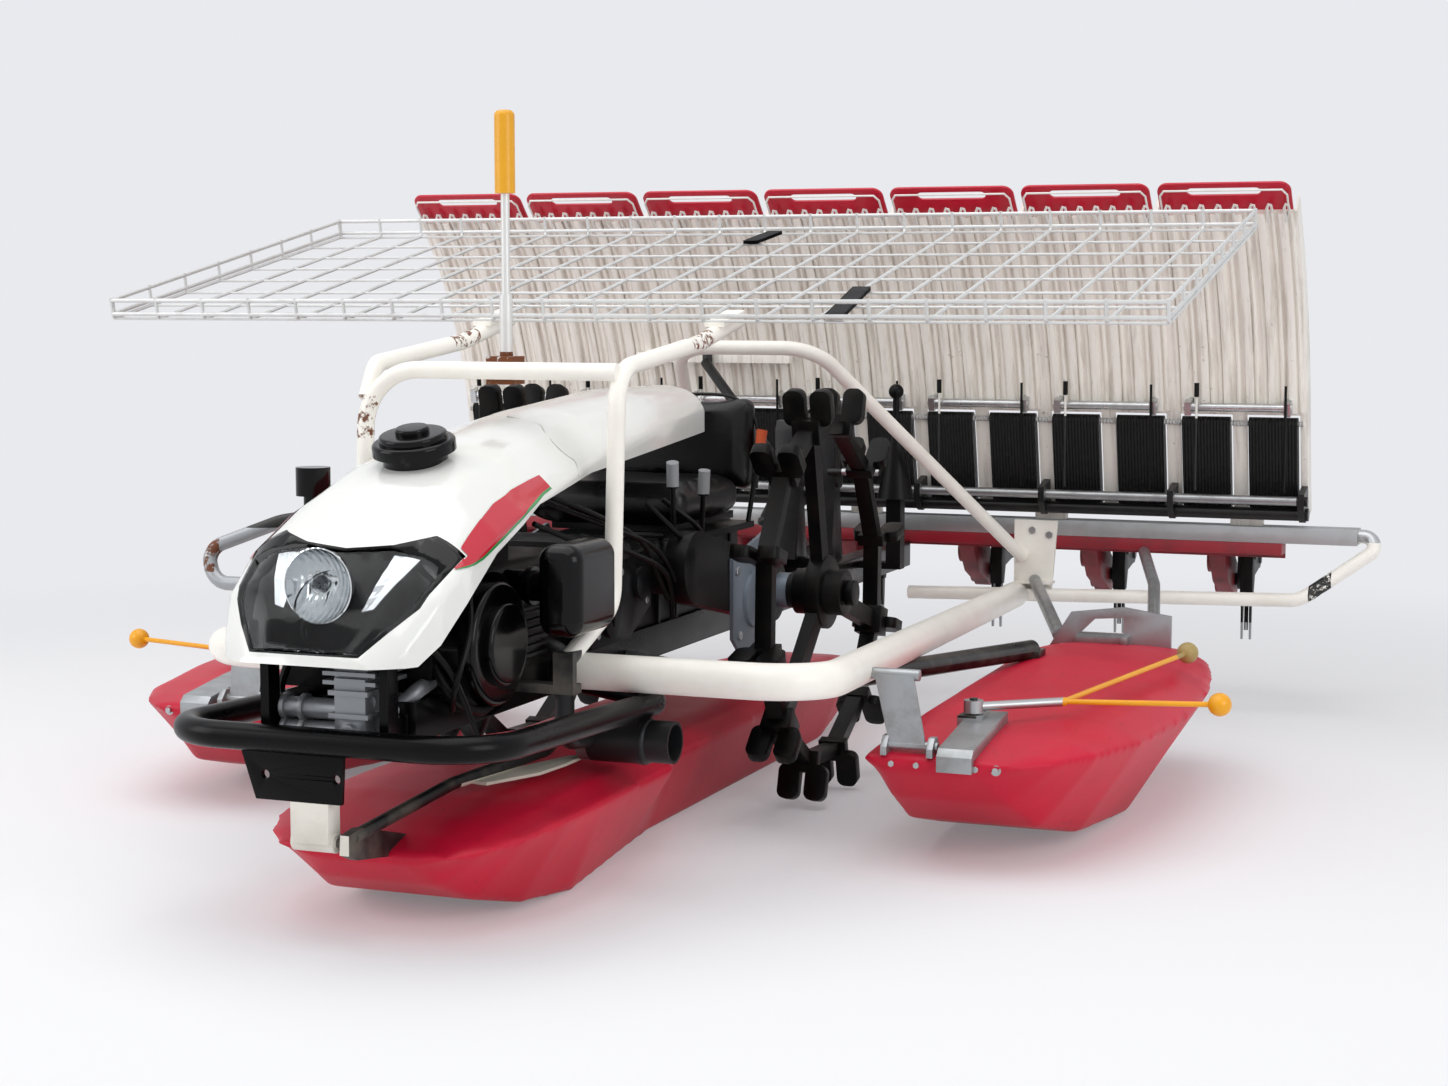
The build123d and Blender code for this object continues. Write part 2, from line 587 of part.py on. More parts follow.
# Link from the tow plate down to the centre float: a folded bracket with its roller, the black
# hinge and arm behind it, and the pale plate beside the arm
LINK = (-36, 16, BUMPER_Y - 4, BUMPER_Y + 24)  # X from and to, Y from and to
with BuildPart() as float_link:
    block(LINK[:2], LINK[2:], (140, 190))
    block((LINK[0] + 6, LINK[1] - 6), (LINK[2] + 5, LINK[3]), (134, 190), Mode.SUBTRACT)
    drum((LINK[0] - 3, BUMPER_Y + 12, 140), (1, 0, 0), 12.5, LINK[1] - LINK[0] + 6)
    drum((LINK[1], BUMPER_Y + 12, 140), (1, 0, 0), 6, 24)
    side_plate([(-1102, 128), (-1080, 118), (-990, 104), (-960, 112), (-960, 126), (-1070, 156), (-1100, 152)],
               (28, 40))
    rod([(34, -1080, 146), (42, -840, 166), (80, -620, 176), (80, -540, 262)], 17, [60, 40])
    flat_plate([(40, -800), (76, -806), (112, -720), (118, -650), (118, -580), (98, -600), (70, -690)], (160, 164))
    add(centre_float.part, mode=Mode.SUBTRACT)
    add(main_frame.part, mode=Mode.SUBTRACT)
save(float_link, "float_link")


# ---------------------------------------------------------------- planting units
# One case a row; its crank turns in it and carries the planting arm on a pin
CASE = (-66, -36)  # in X from the row's line
WEB = (-31, -19)
ARM = (-14, 10)
SHAFT_R = 12
with BuildPart() as planting_cases:
    for row in ROW_X:
        side_plate([(BEAM[1], BEAM[2] - 10), (BEAM[1], BEAM[3]), (1106, 330), (1150, 312), (CRANK_Y + 16, CRANK_Z + 30),
                    (CRANK_Y, CRANK_Z - 34), (1120, 240)], (row + CASE[0], row + CASE[1]))
        drum((row + CASE[0], CRANK_Y, CRANK_Z), (1, 0, 0), CASE_R, CASE[1] - CASE[0])
        drum((row + CASE[0] - 8, 1122, 284), (1, 0, 0), 26, 8)
        drum((row + CASE[0] - 8, CRANK_Y, CRANK_Z), (1, 0, 0), CASE_R - 6, 8)
        drum((row + CASE[0] - 9, CRANK_Y, CRANK_Z), (1, 0, 0), SHAFT_R + RUNNING_FIT, 48, Mode.SUBTRACT)
save(planting_cases, "planting_cases")

PIN_Z = CRANK_Z + CRANK_THROW
with BuildPart() as planting_cranks:
    for row in ROW_X:
        drum((row + CASE[0], CRANK_Y, CRANK_Z), (1, 0, 0), SHAFT_R, WEB[0] - CASE[0])
        drum((row + WEB[0], CRANK_Y, CRANK_Z), (1, 0, 0), 20, WEB[1] - WEB[0])
        drum((row + WEB[0], CRANK_Y, PIN_Z), (1, 0, 0), 16, WEB[1] - WEB[0])
        side_plate([(CRANK_Y - 19, CRANK_Z), (CRANK_Y + 19, CRANK_Z), (CRANK_Y + 15, PIN_Z), (CRANK_Y - 15, PIN_Z)],
                   (row + WEB[0], row + WEB[1]))
        drum((row + WEB[1], CRANK_Y, PIN_Z), (1, 0, 0), PIN_R, ARM[1] + 3 - WEB[1])
save(planting_cranks, "planting_cranks")

with BuildPart() as planting_arms:
    for row in ROW_X:
        drum((row + ARM[0], CRANK_Y, PIN_Z), (1, 0, 0), 18, ARM[1] - ARM[0])
        side_plate([(CRANK_Y + 6, PIN_Z + 17), (CRANK_Y - 40, PIN_Z + 46), (CRANK_Y - 62, PIN_Z + 50),
                    (CRANK_Y - 82, PIN_Z + 34), (CRANK_Y - 92, PIN_Z - 14), (CRANK_Y - 88, PIN_Z - 62),
                    (CRANK_Y - 70, PIN_Z - 62), (CRANK_Y - 58, PIN_Z - 26), (CRANK_Y - 6, PIN_Z - 17)],
                   (row + ARM[0], row + ARM[1]))
        drum((row + ARM[0] - 3, CRANK_Y - 64, PIN_Z + 20), (1, 0, 0), 15, ARM[1] - ARM[0] + 6)
        for x in (ARM[0] + 2, ARM[1] - 6):
            side_plate([(CRANK_Y - 88, PIN_Z - 50), (CRANK_Y - 70, PIN_Z - 50), (CRANK_Y - 76, PIN_Z - 150),
                        (CRANK_Y - 82, PIN_Z - 150)], (row + x, row + x + 4))
        drum((row - 2, CRANK_Y - 79, PIN_Z - 132), (0, 0, 1), 4, 80)
        drum((row + ARM[0] - 1, CRANK_Y, PIN_Z), (1, 0, 0), PIN_R + RUNNING_FIT, 40, Mode.SUBTRACT)
save(planting_arms, "planting_arms")

# ---------------------------------------------------------------- seedling table
FOOT_A = radians(FOOT_LEAN)
HEAD_A = radians(HEAD_LEAN)


def table_point(run, depth, lean=FOOT_A):
    """Y and Z of a point of the straight foot: run along it, depth behind the front skin."""
    return (TABLE_FOOT[0] - run * sin(lean) + depth * cos(lean), TABLE_FOOT[1] + run * cos(lean) + depth * sin(lean))


CURVE_START = table_point(FOOT_RUN, 0)
CURVE_CENTRE = (CURVE_START[0] - CURVE_R * cos(FOOT_A), CURVE_START[1] - CURVE_R * sin(FOOT_A))


def curve_point(angle, depth):
    """Y and Z on the table's curve at a lean angle."""
    return (CURVE_CENTRE[0] + (CURVE_R + depth) * cos(angle), CURVE_CENTRE[1] + (CURVE_R + depth) * sin(angle))


def table_strip(x, depth, start=None):
    """Adds a strip that follows the table from its foot, or from the curve, to its head."""
    middle = (FOOT_A + HEAD_A) / 2
    with BuildSketch(Plane.YZ.offset(x[0])) as section:
        with BuildLine():
            if start is None:
                Line(table_point(0, depth[0]), curve_point(FOOT_A, depth[0]))
            ThreePointArc(*[curve_point(angle, depth[0]) for angle in (FOOT_A, middle, HEAD_A)])
            Line(curve_point(HEAD_A, depth[0]), curve_point(HEAD_A, depth[1]))
            ThreePointArc(*[curve_point(angle, depth[1]) for angle in (HEAD_A, middle, FOOT_A)])
            if start is None:
                Line(curve_point(FOOT_A, depth[1]), table_point(0, depth[1]))
                Line(table_point(0, depth[1]), table_point(0, depth[0]))
            else:
                Line(curve_point(FOOT_A, depth[1]), curve_point(FOOT_A, depth[0]))
        make_face()
    extrude(section.sketch, amount=x[1] - x[0])


FOOT_PLANE = Plane(origin=(0, *TABLE_FOOT), x_dir=(1, 0, 0), z_dir=(0, cos(FOOT_A), sin(FOOT_A)))
BELT_PITCH = ROW_PITCH / 2
BELTS = 2 * ROWS
BELT_WIDE = 90
BELT_LONG = 182
BELT_MID = 104  # along the foot, from its lower end

with BuildPart() as feed_belts:
    with BuildSketch(Plane.YZ.offset(-TABLE_HALF + BELT_PITCH / 2 - BELT_WIDE / 2)) as loop:
        with Locations(Location(table_point(BELT_MID, -2), 90 + FOOT_LEAN)):
            SlotOverall(BELT_LONG, 24)
    for i in range(BELTS):
        extrude(loop.sketch.moved(Location((i * BELT_PITCH, 0, 0))), amount=BELT_WIDE)
    for run in (BELT_MID - BELT_LONG / 2 + 12, BELT_MID + BELT_LONG / 2 - 12):
        drum((-TABLE_HALF + 8, *table_point(run, -2)), (1, 0, 0), 5, 2 * TABLE_HALF - 16)
save(feed_belts, "feed_belts")

with BuildPart() as seed_tray:
    table_strip((-TABLE_HALF, TABLE_HALF), (0, SKIN))
    for i in range(ROWS + 1):
        wall = -TABLE_HALF + i * ROW_PITCH
        table_strip((max(wall - 3, -TABLE_HALF), min(wall + 3, TABLE_HALF)), (0, SIDE_WALL))
    for row in ROW_X:
        for x in (-100, -62, -21, 21, 62, 100):
            table_strip((row + x - 7, row + x + 7), (-9, 0), "curve")
    for i in range(BELTS):
        centre = -TABLE_HALF + BELT_PITCH * (i + 0.5)
        with BuildSketch(FOOT_PLANE.offset(-20)) as opening:
            with Locations((centre, -BELT_MID if FOOT_PLANE.y_dir.Z < 0 else BELT_MID)):
                Rectangle(BELT_WIDE + 8, BELT_LONG + 8)
        extrude(opening.sketch, amount=30, mode=Mode.SUBTRACT)
    for x in (-760, -380, 0, 380, 760):
        block((x - 30, x + 30), (1034, 1058), (SLIDE_Z[1] + 0.3, 386))
    block((-460, -130), (938, 960), (660, 680))
    add(feed_belts.part, mode=Mode.SUBTRACT)
save(seed_tray, "seed_tray")

with BuildPart() as belt_idlers:
    for row in ROW_X:
        drum((row - 100, *curve_point(FOOT_A + 0.02, -24)), (1, 0, 0), 8, 200)
        for x in (-92, 92):
            side_plate([curve_point(FOOT_A, -34), curve_point(FOOT_A + 0.035, -34), curve_point(FOOT_A + 0.035, 0),
                        curve_point(FOOT_A, 0)], (row + x - 6, row + x + 6))
    add(seed_tray.part, mode=Mode.SUBTRACT)
save(belt_idlers, "belt_idlers")

SHAFTS = ((988, 412, 9), (1004, 386, 12))  # Y, Z and radius
with BuildPart() as feed_shafts:
    for y, z, radius in SHAFTS:
        drum((-868, y, z), (1, 0, 0), radius, 2 * 868 + 12)
    for i in range(ROWS + 1):
        wall = max(min(-TABLE_HALF + i * ROW_PITCH, TABLE_HALF - 6), 6 - TABLE_HALF)
        side_plate([(974, 398), (974, 426), (1034, 440), (1042, 378), (1004, 371), (990, 378)], (wall - 6, wall + 6))
    add(seed_tray.part, mode=Mode.SUBTRACT)
    add(feed_belts.part, mode=Mode.SUBTRACT)
save(feed_shafts, "feed_shafts")

# Red mat extensions at the table's head
HEAD_PLANE = Plane(origin=(0, *curve_point(HEAD_A, SKIN)), x_dir=(1, 0, 0), z_dir=(0, cos(HEAD_A), sin(HEAD_A)))
with BuildPart() as mat_covers:
    for row in ROW_X:
        with BuildSketch(HEAD_PLANE) as cover:
            up = -1 if HEAD_PLANE.y_dir.Z < 0 else 1
            with Locations((row, up * 22)):
                RectangleRounded(236, 84, 20)
            with Locations((row, up * 44)):
                SlotOverall(130, 18, mode=Mode.SUBTRACT)
        extrude(cover.sketch, amount=4)
    add(seed_tray.part, mode=Mode.SUBTRACT)
save(mat_covers, "mat_covers")

# Two cast uprights behind the driver with their links, and the stay whose roller steadies the table
UPRIGHTS = [(-66, -22, 561), (6, 50, 609)]  # X from and to, top
with BuildPart() as table_stays:
    for left, right, top in UPRIGHTS:
        side_plate([(672, 300), (738, 300), (722, 430), (730, top - 20), (712, top), (692, top), (682, top - 20),
                    (690, 430)], (left, right))
        side_plate([(694, 460), (718, 460), (718, top - 40), (694, top - 40)], (left - 1, left + 13), Mode.SUBTRACT)
        drum((left - 6, 706, 452), (1, 0, 0), 17, right - left + 12)
        drum((left - 4, 706, top - 18), (1, 0, 0), 10, right - left + 8)
    block((-22, 6), (690, 722), (440, 464))
    rod([(-44, 690, 470), (-88, 676, 378)], 11)
    with Locations((-88, 676, 370)):
        Sphere(10)
    rod([(40, 682, 468), (140, 682, 468)], 13)
    rod([(-80, 700, 290), (-110, 800, 480), (-300, 915, 662)], 20, 60)
    drum((-300, 927, 656), (0, 0, 1), 10, 28)
    add(main_frame.part, mode=Mode.SUBTRACT)
save(table_stays, "table_stays")

# ---------------------------------------------------------------- side markers
MARKER_PIVOT = (590, -290)
MARKER_Z = 214
BRACKET_X = (582, 632)
with BuildPart() as marker_bracket:
    side_plate([(-452, 148), (-452, 170), (-442, 180), (-330, 196), (-256, 203), (-256, 184), (-330, 176),
                (-430, 162), (-444, 148)], BRACKET_X)
    block((572, 608), (-312, -268), (180, 203))
    drum((*MARKER_PIVOT, 190), (0, 0, 1), 6, 36)
    add(side_float.part, mode=Mode.SUBTRACT)
save_both(marker_bracket, "marker_brackets")

with BuildPart() as marker:
    drum((*MARKER_PIVOT, MARKER_Z - 9), (0, 0, 1), 14, 18)
    rod([(600, -287, MARKER_Z), (703, -204, MARKER_Z)], 13)
    rod([(700, -206, MARKER_Z), (915, -150, MARKER_Z)], 8)
    rod([(700, -206, MARKER_Z), (800, 225, MARKER_Z + 16)], 8)
    with Locations((915, -150, MARKER_Z), (800, 225, MARKER_Z + 16)):
        Sphere(17)
    drum((*MARKER_PIVOT, MARKER_Z - 20), (0, 0, 1), 6 + RUNNING_FIT, 40, Mode.SUBTRACT)
save_pair(marker, "marker")

# What carries a side float: a folded plate between two pins at the front, a pipe from the frame,
# and at the rear a bracket on the deck with an arm and a channel from the planting section
PLATE_TOP = (-432, 276)  # Y and Z of the front plate's upper edge
with BuildPart() as float_hangers:
    rod([(440, PLATE_TOP[0] + 7, PLATE_TOP[1]), (550, PLATE_TOP[0] + 7, PLATE_TOP[1])], 16)
    with BuildSketch(Plane(origin=(0, *PLATE_TOP), x_dir=(1, 0, 0), z_dir=(0, -1, -0.1))) as plate:
        with BuildLine():
            Polyline((488, 0), (544, 0), (560, -104), (508, -104), close=True)
        make_face()
    extrude(plate.sketch, amount=4)
    rod([(496, -421, 177), (576, -421, 177)], 13)
    for x in (498, 564):
        side_plate([(-440, 150), (-440, 176), (-428, 190), (-414, 190), (-390, 160), (-390, 150)], (x, x + 9))
    rod([(RAIL_X[1], -400, 268), (332, -400, 240), (540, 250, 218)], 32, 60)
    block((524, 558), (228, 272), (190, 218))
    rod([(566, BEAM[0] + 12, BEAM[2] - 2), (640, 760, 272), (690, 506, 226)], 22, 60)
    rod([(358, 1004, 240), (522, 520, 206)], 24)
    front_plate([(508, 186), (548, 250), (640, 262), (722, 250), (722, 182)], (496, 504))
    front_plate([(566, 216), (590, 240), (640, 244), (640, 216)], (490, 510), Mode.SUBTRACT)
    block((640, 652), (470, 530), (190, 214))
    block((560, 640), (480, 500), (190, 212))
    add(side_float.part, mode=Mode.SUBTRACT)
    add(side_tube.part, mode=Mode.SUBTRACT)
    add(guard_tube.part, mode=Mode.SUBTRACT)
    add(planting_beam.part, mode=Mode.SUBTRACT)
    add(main_frame.part, mode=Mode.SUBTRACT)
save_both(float_hangers, "float_hangers")
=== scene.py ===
"""Seven-row rice transplanter: white hood and tubes, red floats, paddy wheels and a seedling table.

The machine points along -Y and stands on the floor at Z = 0. Everything is in metres, in the
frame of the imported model.
"""
from contextlib import contextmanager
from math import cos, pi, radians, sin

import bpy
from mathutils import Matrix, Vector


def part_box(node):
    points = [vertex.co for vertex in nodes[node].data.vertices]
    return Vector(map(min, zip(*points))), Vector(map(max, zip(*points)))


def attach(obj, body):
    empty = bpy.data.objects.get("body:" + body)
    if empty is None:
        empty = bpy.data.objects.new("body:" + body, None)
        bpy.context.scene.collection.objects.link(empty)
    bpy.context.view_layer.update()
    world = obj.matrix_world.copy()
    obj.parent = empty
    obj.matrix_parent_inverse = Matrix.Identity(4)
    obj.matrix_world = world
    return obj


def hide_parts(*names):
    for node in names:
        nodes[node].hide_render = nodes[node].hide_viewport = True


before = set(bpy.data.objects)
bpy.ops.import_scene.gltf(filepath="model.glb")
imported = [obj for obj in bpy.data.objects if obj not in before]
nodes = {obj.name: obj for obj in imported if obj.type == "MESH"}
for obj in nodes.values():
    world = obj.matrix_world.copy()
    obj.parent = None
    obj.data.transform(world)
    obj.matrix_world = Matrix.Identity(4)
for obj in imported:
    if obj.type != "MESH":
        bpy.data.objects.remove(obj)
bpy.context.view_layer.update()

# -------------------- camera
# Stands in front of the machine, a little to its left and about at the height of the rack.
wheel_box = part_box("wheel_left")
axle_y = (wheel_box[0].y + wheel_box[1].y) / 2
camera = bpy.data.objects.new("camera", bpy.data.cameras.new("camera"))
bpy.context.collection.objects.link(camera)
CAMERA_LEFT, CAMERA_AHEAD, CAMERA_UP = 1.4883, 3.5868, 0.8015  # from the middle, axle and floor
CAMERA_PITCH, CAMERA_TURN = 84.06, 21.22  # degrees
camera.location = (CAMERA_LEFT, axle_y - CAMERA_AHEAD, CAMERA_UP)
camera.rotation_euler = (radians(CAMERA_PITCH), 0, radians(CAMERA_TURN))
camera.data.sensor_width = 36
camera.data.lens = 60
bpy.context.scene.camera = camera


# -------------------- studio
# A wide floor of pale paper, a soft box overhead and two large soft panels. Far from the machine
# the paper shows its own even colour, and the air above it has that colour too, on every side.
def linear(hex_colour, alpha=1.0):
    """An sRGB hex colour as linear red, green, blue and alpha."""
    channels = [int(hex_colour[i:i + 2], 16) / 255 for i in (1, 3, 5)]
    return (*[c / 12.92 if c <= 0.04045 else ((c + 0.055) / 1.055) ** 2.4 for c in channels], alpha)


def add_node(tree, kind, **settings):
    """Adds a shader node. A setting is a property, an input's value, or an output to link to it.

    A node stands for its first output.
    """
    made = tree.nodes.new("ShaderNode" + kind)
    for name, value in settings.items():
        if isinstance(value, bpy.types.Node):
            value = value.outputs[0]
        if hasattr(made, name):
            setattr(made, name, value)
            continue
        numbered = name.startswith("in_")
        socket = made.inputs[int(name[3:]) if numbered else name.replace("_", " ")]
        if isinstance(value, bpy.types.NodeSocket):
            tree.links.new(value, socket)
        else:
            socket.default_value = value
    return made


def new_material(name):
    """An empty node material, and its tree."""
    material = bpy.data.materials.new(name)
    material.use_nodes = True
    material.node_tree.nodes.clear()
    return material, material.node_tree


def seen_directly(tree):
    """1 for rays from the camera, and for those that metal or glass passes on to it."""
    rays = add_node(tree, "LightPath")
    passed_on = add_node(tree, "Math", operation="MAXIMUM", in_0=rays.outputs["Is Glossy Ray"],
                         in_1=rays.outputs["Is Transmission Ray"])
    return add_node(tree, "Math", operation="MAXIMUM", in_0=rays.outputs["Is Camera Ray"],
                    in_1=passed_on).outputs[0]


@contextmanager
def edit_mode():
    """Edit mode on the active piece, for the length of a block."""
    bpy.ops.object.mode_set(mode="EDIT")
    yield
    bpy.ops.object.mode_set(mode="OBJECT")


def begin(add_primitive, **settings):
    """A new primitive, with nothing else selected."""
    bpy.ops.object.select_all(action="DESELECT")
    add_primitive(**settings)
    return bpy.context.object


scene = bpy.context.scene
scene.view_settings.view_transform = "Standard"

# The haze begins beside the machine and is whole a few metres off, so the floor has no edge
HAZE_COLOUR, HAZE_FROM, HAZE_WHOLE, HAZE_NEAR_SHARE = linear("#e9eaee"), 1.5, 3.4, 0.22
studio_paper, tree = new_material("studio_paper")
spot = add_node(tree, "TexCoord")
away = add_node(tree, "VectorMath", operation="LENGTH", in_0=spot.outputs["Object"])
far = add_node(tree, "MapRange", interpolation_type="SMOOTHSTEP", Value=away.outputs["Value"],
               From_Min=HAZE_FROM, From_Max=HAZE_WHOLE, To_Min=HAZE_NEAR_SHARE)
share = add_node(tree, "Math", operation="MULTIPLY", in_0=seen_directly(tree), in_1=far)
paper = add_node(tree, "BsdfDiffuse", Color=linear("#f3f3f5"))
haze = add_node(tree, "Emission", Color=HAZE_COLOUR, Strength=1.0)
mixed = add_node(tree, "MixShader", in_0=share, in_1=paper, in_2=haze)
add_node(tree, "OutputMaterial", Surface=mixed)

FLOOR_WIDTH = 60
floor = begin(bpy.ops.mesh.primitive_plane_add, size=1, location=(0, 0, 0))
floor.name = "floor"
with edit_mode():
    bpy.ops.transform.resize(value=(FLOOR_WIDTH, FLOOR_WIDTH, 1))
floor.data.materials.append(studio_paper)

world = bpy.data.worlds.new("studio_air")
world.use_nodes = True
scene.world = world
world.node_tree.nodes.clear()
tree = world.node_tree
air = add_node(tree, "Background", Color=linear("#f4f4f6"), Strength=0.55)
horizon = add_node(tree, "Background", Color=HAZE_COLOUR, Strength=1.0)
sky = add_node(tree, "MixShader", in_0=seen_directly(tree), in_1=air, in_2=horizon)
add_node(tree, "OutputWorld", Surface=sky)


def soft_panel(name, place, aim, size, power):
    """A large square lamp that faces a point."""
    lamp = bpy.data.lights.new(name, "AREA")
    lamp.shape = "RECTANGLE"
    lamp.size, lamp.size_y = size
    lamp.energy = power
    panel = bpy.data.objects.new(name, lamp)
    bpy.context.collection.objects.link(panel)
    panel.location = place
    panel.rotation_euler = (Vector(aim) - Vector(place)).to_track_quat("-Z", "Y").to_euler()


soft_panel("overhead", (-0.3, -0.8, 3.6), (0, 0, 0.3), (4.5, 3.5), 84)
soft_panel("left_panel", (-3.6, -3.2, 2.2), (0, 0, 0.5), (2.6, 2.6), 64)
soft_panel("right_panel", (4.2, -2.4, 1.9), (0, 0, 0.4), (2.2, 2.4), 54)


# -------------------- frame and side tubes
# Rails and cross members are steel in satin black paint; the side, guard and gate tubes round
# them are steel tube in white enamel that has yellowed, with grime and rubbed rust at the clamps.
def from_axle(x, y, z):
    """A point in metres, measured along Y from the wheel axle and up from the ground."""
    return Vector((x, axle_y + y, z))


def inside(tree, place, low, high):
    """1 inside a box between two corners, 0 outside."""
    middle = [(a + b) / 2 for a, b in zip(low, high)]
    half = [(b - a) / 2 for a, b in zip(low, high)]
    shifted = add_node(tree, "VectorMath", operation="SUBTRACT", in_0=place, in_1=middle)
    folded = add_node(tree, "VectorMath", operation="ABSOLUTE", in_0=shifted)
    scaled = add_node(tree, "VectorMath", operation="DIVIDE", in_0=folded, in_1=half)
    sides = add_node(tree, "SeparateXYZ", Vector=scaled)
    larger = add_node(tree, "Math", operation="MAXIMUM", in_0=sides, in_1=sides.outputs[1])
    largest = add_node(tree, "Math", operation="MAXIMUM", in_0=larger, in_1=sides.outputs[2])
    return add_node(tree, "Math", operation="LESS_THAN", in_0=largest, in_1=1.0).outputs[0]


def both_sides(low, high, *look):
    """One zone on the left, whose corners are given, and its mirror on the right."""
    return [(low, high, *look), ((-high[0], *low[1:]), (-low[0], *high[1:]), *look)]


BLOTCH = 70.0  # blotches of rust and wear about 14 mm wide
GRAIN_DEPTH = 0.0005


def finish(name, colour, dirt, roughness=0.32, dirt_share=0.35, coat=0.0, metallic=0.0, patch=9.0,
           grain=420.0, relief=0.05, specular=0.5, zones=()):
    """A painted, moulded or cast surface with soft patches of dirt and a fine grain.

    patch and grain are counts to the metre: patch 9 is dirt in clouds of 110 mm, and grain 420 is
    2.4 mm, the orange peel of enamel drawn coarse enough to show. Each zone is (low corner, high
    corner, colour, metallic, roughness, cover). A cover under 1 leaves that zone patchy, as rust
    or a worn mark is.
    """
    material, tree = new_material(name)
    place = add_node(tree, "TexCoord").outputs["Object"]
    patches = add_node(tree, "TexNoise", Vector=place, Scale=patch, Detail=6.0, Roughness=0.62)
    dirty = add_node(tree, "MapRange", Value=patches, From_Min=0.45, From_Max=0.75, To_Max=dirt_share)
    paint, shine, metal = linear(colour), roughness, metallic
    for low, high, zone_colour, zone_metallic, zone_roughness, cover in zones:
        mask = inside(tree, place, from_axle(*low), from_axle(*high))
        if cover < 1:
            blotches = add_node(tree, "TexNoise", Vector=place, Scale=BLOTCH, Detail=5.0, Roughness=0.7)
            worn = add_node(tree, "MapRange", Value=blotches,
                            From_Min=0.62 - 0.3 * cover, From_Max=0.68 - 0.3 * cover)
            mask = add_node(tree, "Math", operation="MULTIPLY", in_0=mask, in_1=worn).outputs[0]
        paint = add_node(tree, "Mix", data_type="RGBA", Factor=mask, in_6=paint,
                         in_7=linear(zone_colour)).outputs[2]
        shine = add_node(tree, "Mix", Factor=mask, in_2=shine, in_3=zone_roughness).outputs[0]
        metal = add_node(tree, "Mix", Factor=mask, in_2=metal, in_3=zone_metallic).outputs[0]
    soiled = add_node(tree, "Mix", data_type="RGBA", Factor=dirty, in_6=paint, in_7=linear(dirt))
    specks = add_node(tree, "TexNoise", Vector=place, Scale=grain, Detail=2.0)
    peel = add_node(tree, "Bump", Height=specks, Strength=relief, Distance=GRAIN_DEPTH)
    scatter = add_node(tree, "MapRange", Value=patches, To_Min=-0.06, To_Max=0.16)
    rough = add_node(tree, "Math", operation="ADD", use_clamp=True, in_0=shine, in_1=scatter)
    skin = add_node(tree, "BsdfPrincipled", Base_Color=soiled.outputs[2], Roughness=rough,
                    Metallic=metal, Normal=peel, Specular_IOR_Level=specular, Coat_Weight=coat,
                    Coat_Roughness=0.06)
    add_node(tree, "OutputMaterial", Surface=skin)
    return material


WELD, SOFTENED_ANGLE = 0.00002, 40  # metres, degrees


def dress(node, material, smooth=30, edge=0.0):
    """Gives a CAD node its material, smooth shading up to an angle, and softened edges."""
    piece = nodes[node]
    piece.data.materials.clear()
    piece.data.materials.append(material)
    piece.data.polygons.foreach_set("use_smooth", [True] * len(piece.data.polygons))
    weld = piece.modifiers.new("weld", "WELD")
    weld.merge_threshold = WELD
    if edge:
        soften = piece.modifiers.new("soften", "BEVEL")
        soften.width = edge
        soften.segments = 2
        soften.angle_limit = radians(SOFTENED_ANGLE)
    split = piece.modifiers.new("split", "EDGE_SPLIT")
    split.split_angle = radians(smooth)


RUST, BARE_STEEL = "#6b3a1e", "#b9babb"
# Enamel gives a soft gloss, warm white gone cream; it has rusted through under the rack's clamps
white_enamel = finish("white_enamel_on_steel_tube", "#faf7ef", "#c9c1b1", 0.28, 0.22, zones=[
    *both_sides((0.17, -0.39, 0.72), (0.21, -0.31, 0.77), RUST, 0.0, 0.7, 0.45),
    ((-0.21, -0.66, 0.6), (-0.17, -0.62, 0.66), RUST, 0.0, 0.7, 0.4),
    ((-0.25, -0.82, 0.28), (0.25, -0.78, 0.3425), "#101011", 0.0, 0.4, 1),
])
for name in ("side_tubes", "gate_tube", "rack_posts"):
    dress(name, white_enamel)
# The tape bands near the bends are black and the bare outer ends are galvanised
guard_enamel = finish("white_enamel_with_bare_ends", "#f7f4ec", "#c0b8a8", 0.3, 0.28, zones=[
    *both_sides((0.9, 0.9, 0.335), (1.1, 1.1, 0.4), BARE_STEEL, 0.9, 0.35, 1),
    *both_sides((0.885, 0.9, 0.2), (0.925, 1.1, 0.37), "#141414", 0.0, 0.5, 0.62),
])
dress("guard_tubes", guard_enamel)

# Satin black paint: an even sheen, with a little dust
black_paint = finish("black_paint_on_steel", "#040405", "#24211d", 0.24, 0.12, specular=0.14)
for name in ("main_frame", "tow_plate", "bumper"):
    dress(name, black_paint, edge=0.0015)


# -------------------- drive and wheels
# Gear case and wheel arms are cast and pressed metal; the left and right mud shields are grey
# paint. The wheels are cast iron lugs on a steel rim, black with dry mud and rubbed tips.
gear_case = finish("dark_cast_aluminium", "#101113", "#24211d", 0.36, 0.35, metallic=0.2, patch=14, grain=260,
                   relief=0.25, specular=0.14)
dress("transmission", gear_case, edge=0.0015)
arm_paint = finish("black_arm_with_grey_shield", "#060607", "#24211d", 0.32, 0.2, specular=0.14,
                   zones=both_sides((0.1842, -0.3, 0.2), (0.21, 0.05, 0.46), "#77808a", 0.3, 0.34, 1))
for name in ("wheel_arm_left", "wheel_arm_right"):
    dress(name, arm_paint, edge=0.001)
wheel_iron = finish("black_cast_iron", "#050505", "#2b2119", 0.34, 0.3, patch=22, grain=300, relief=0.35,
                    specular=0.14)
for name in ("wheel_left", "wheel_right"):
    dress(name, wheel_iron, edge=0.003)


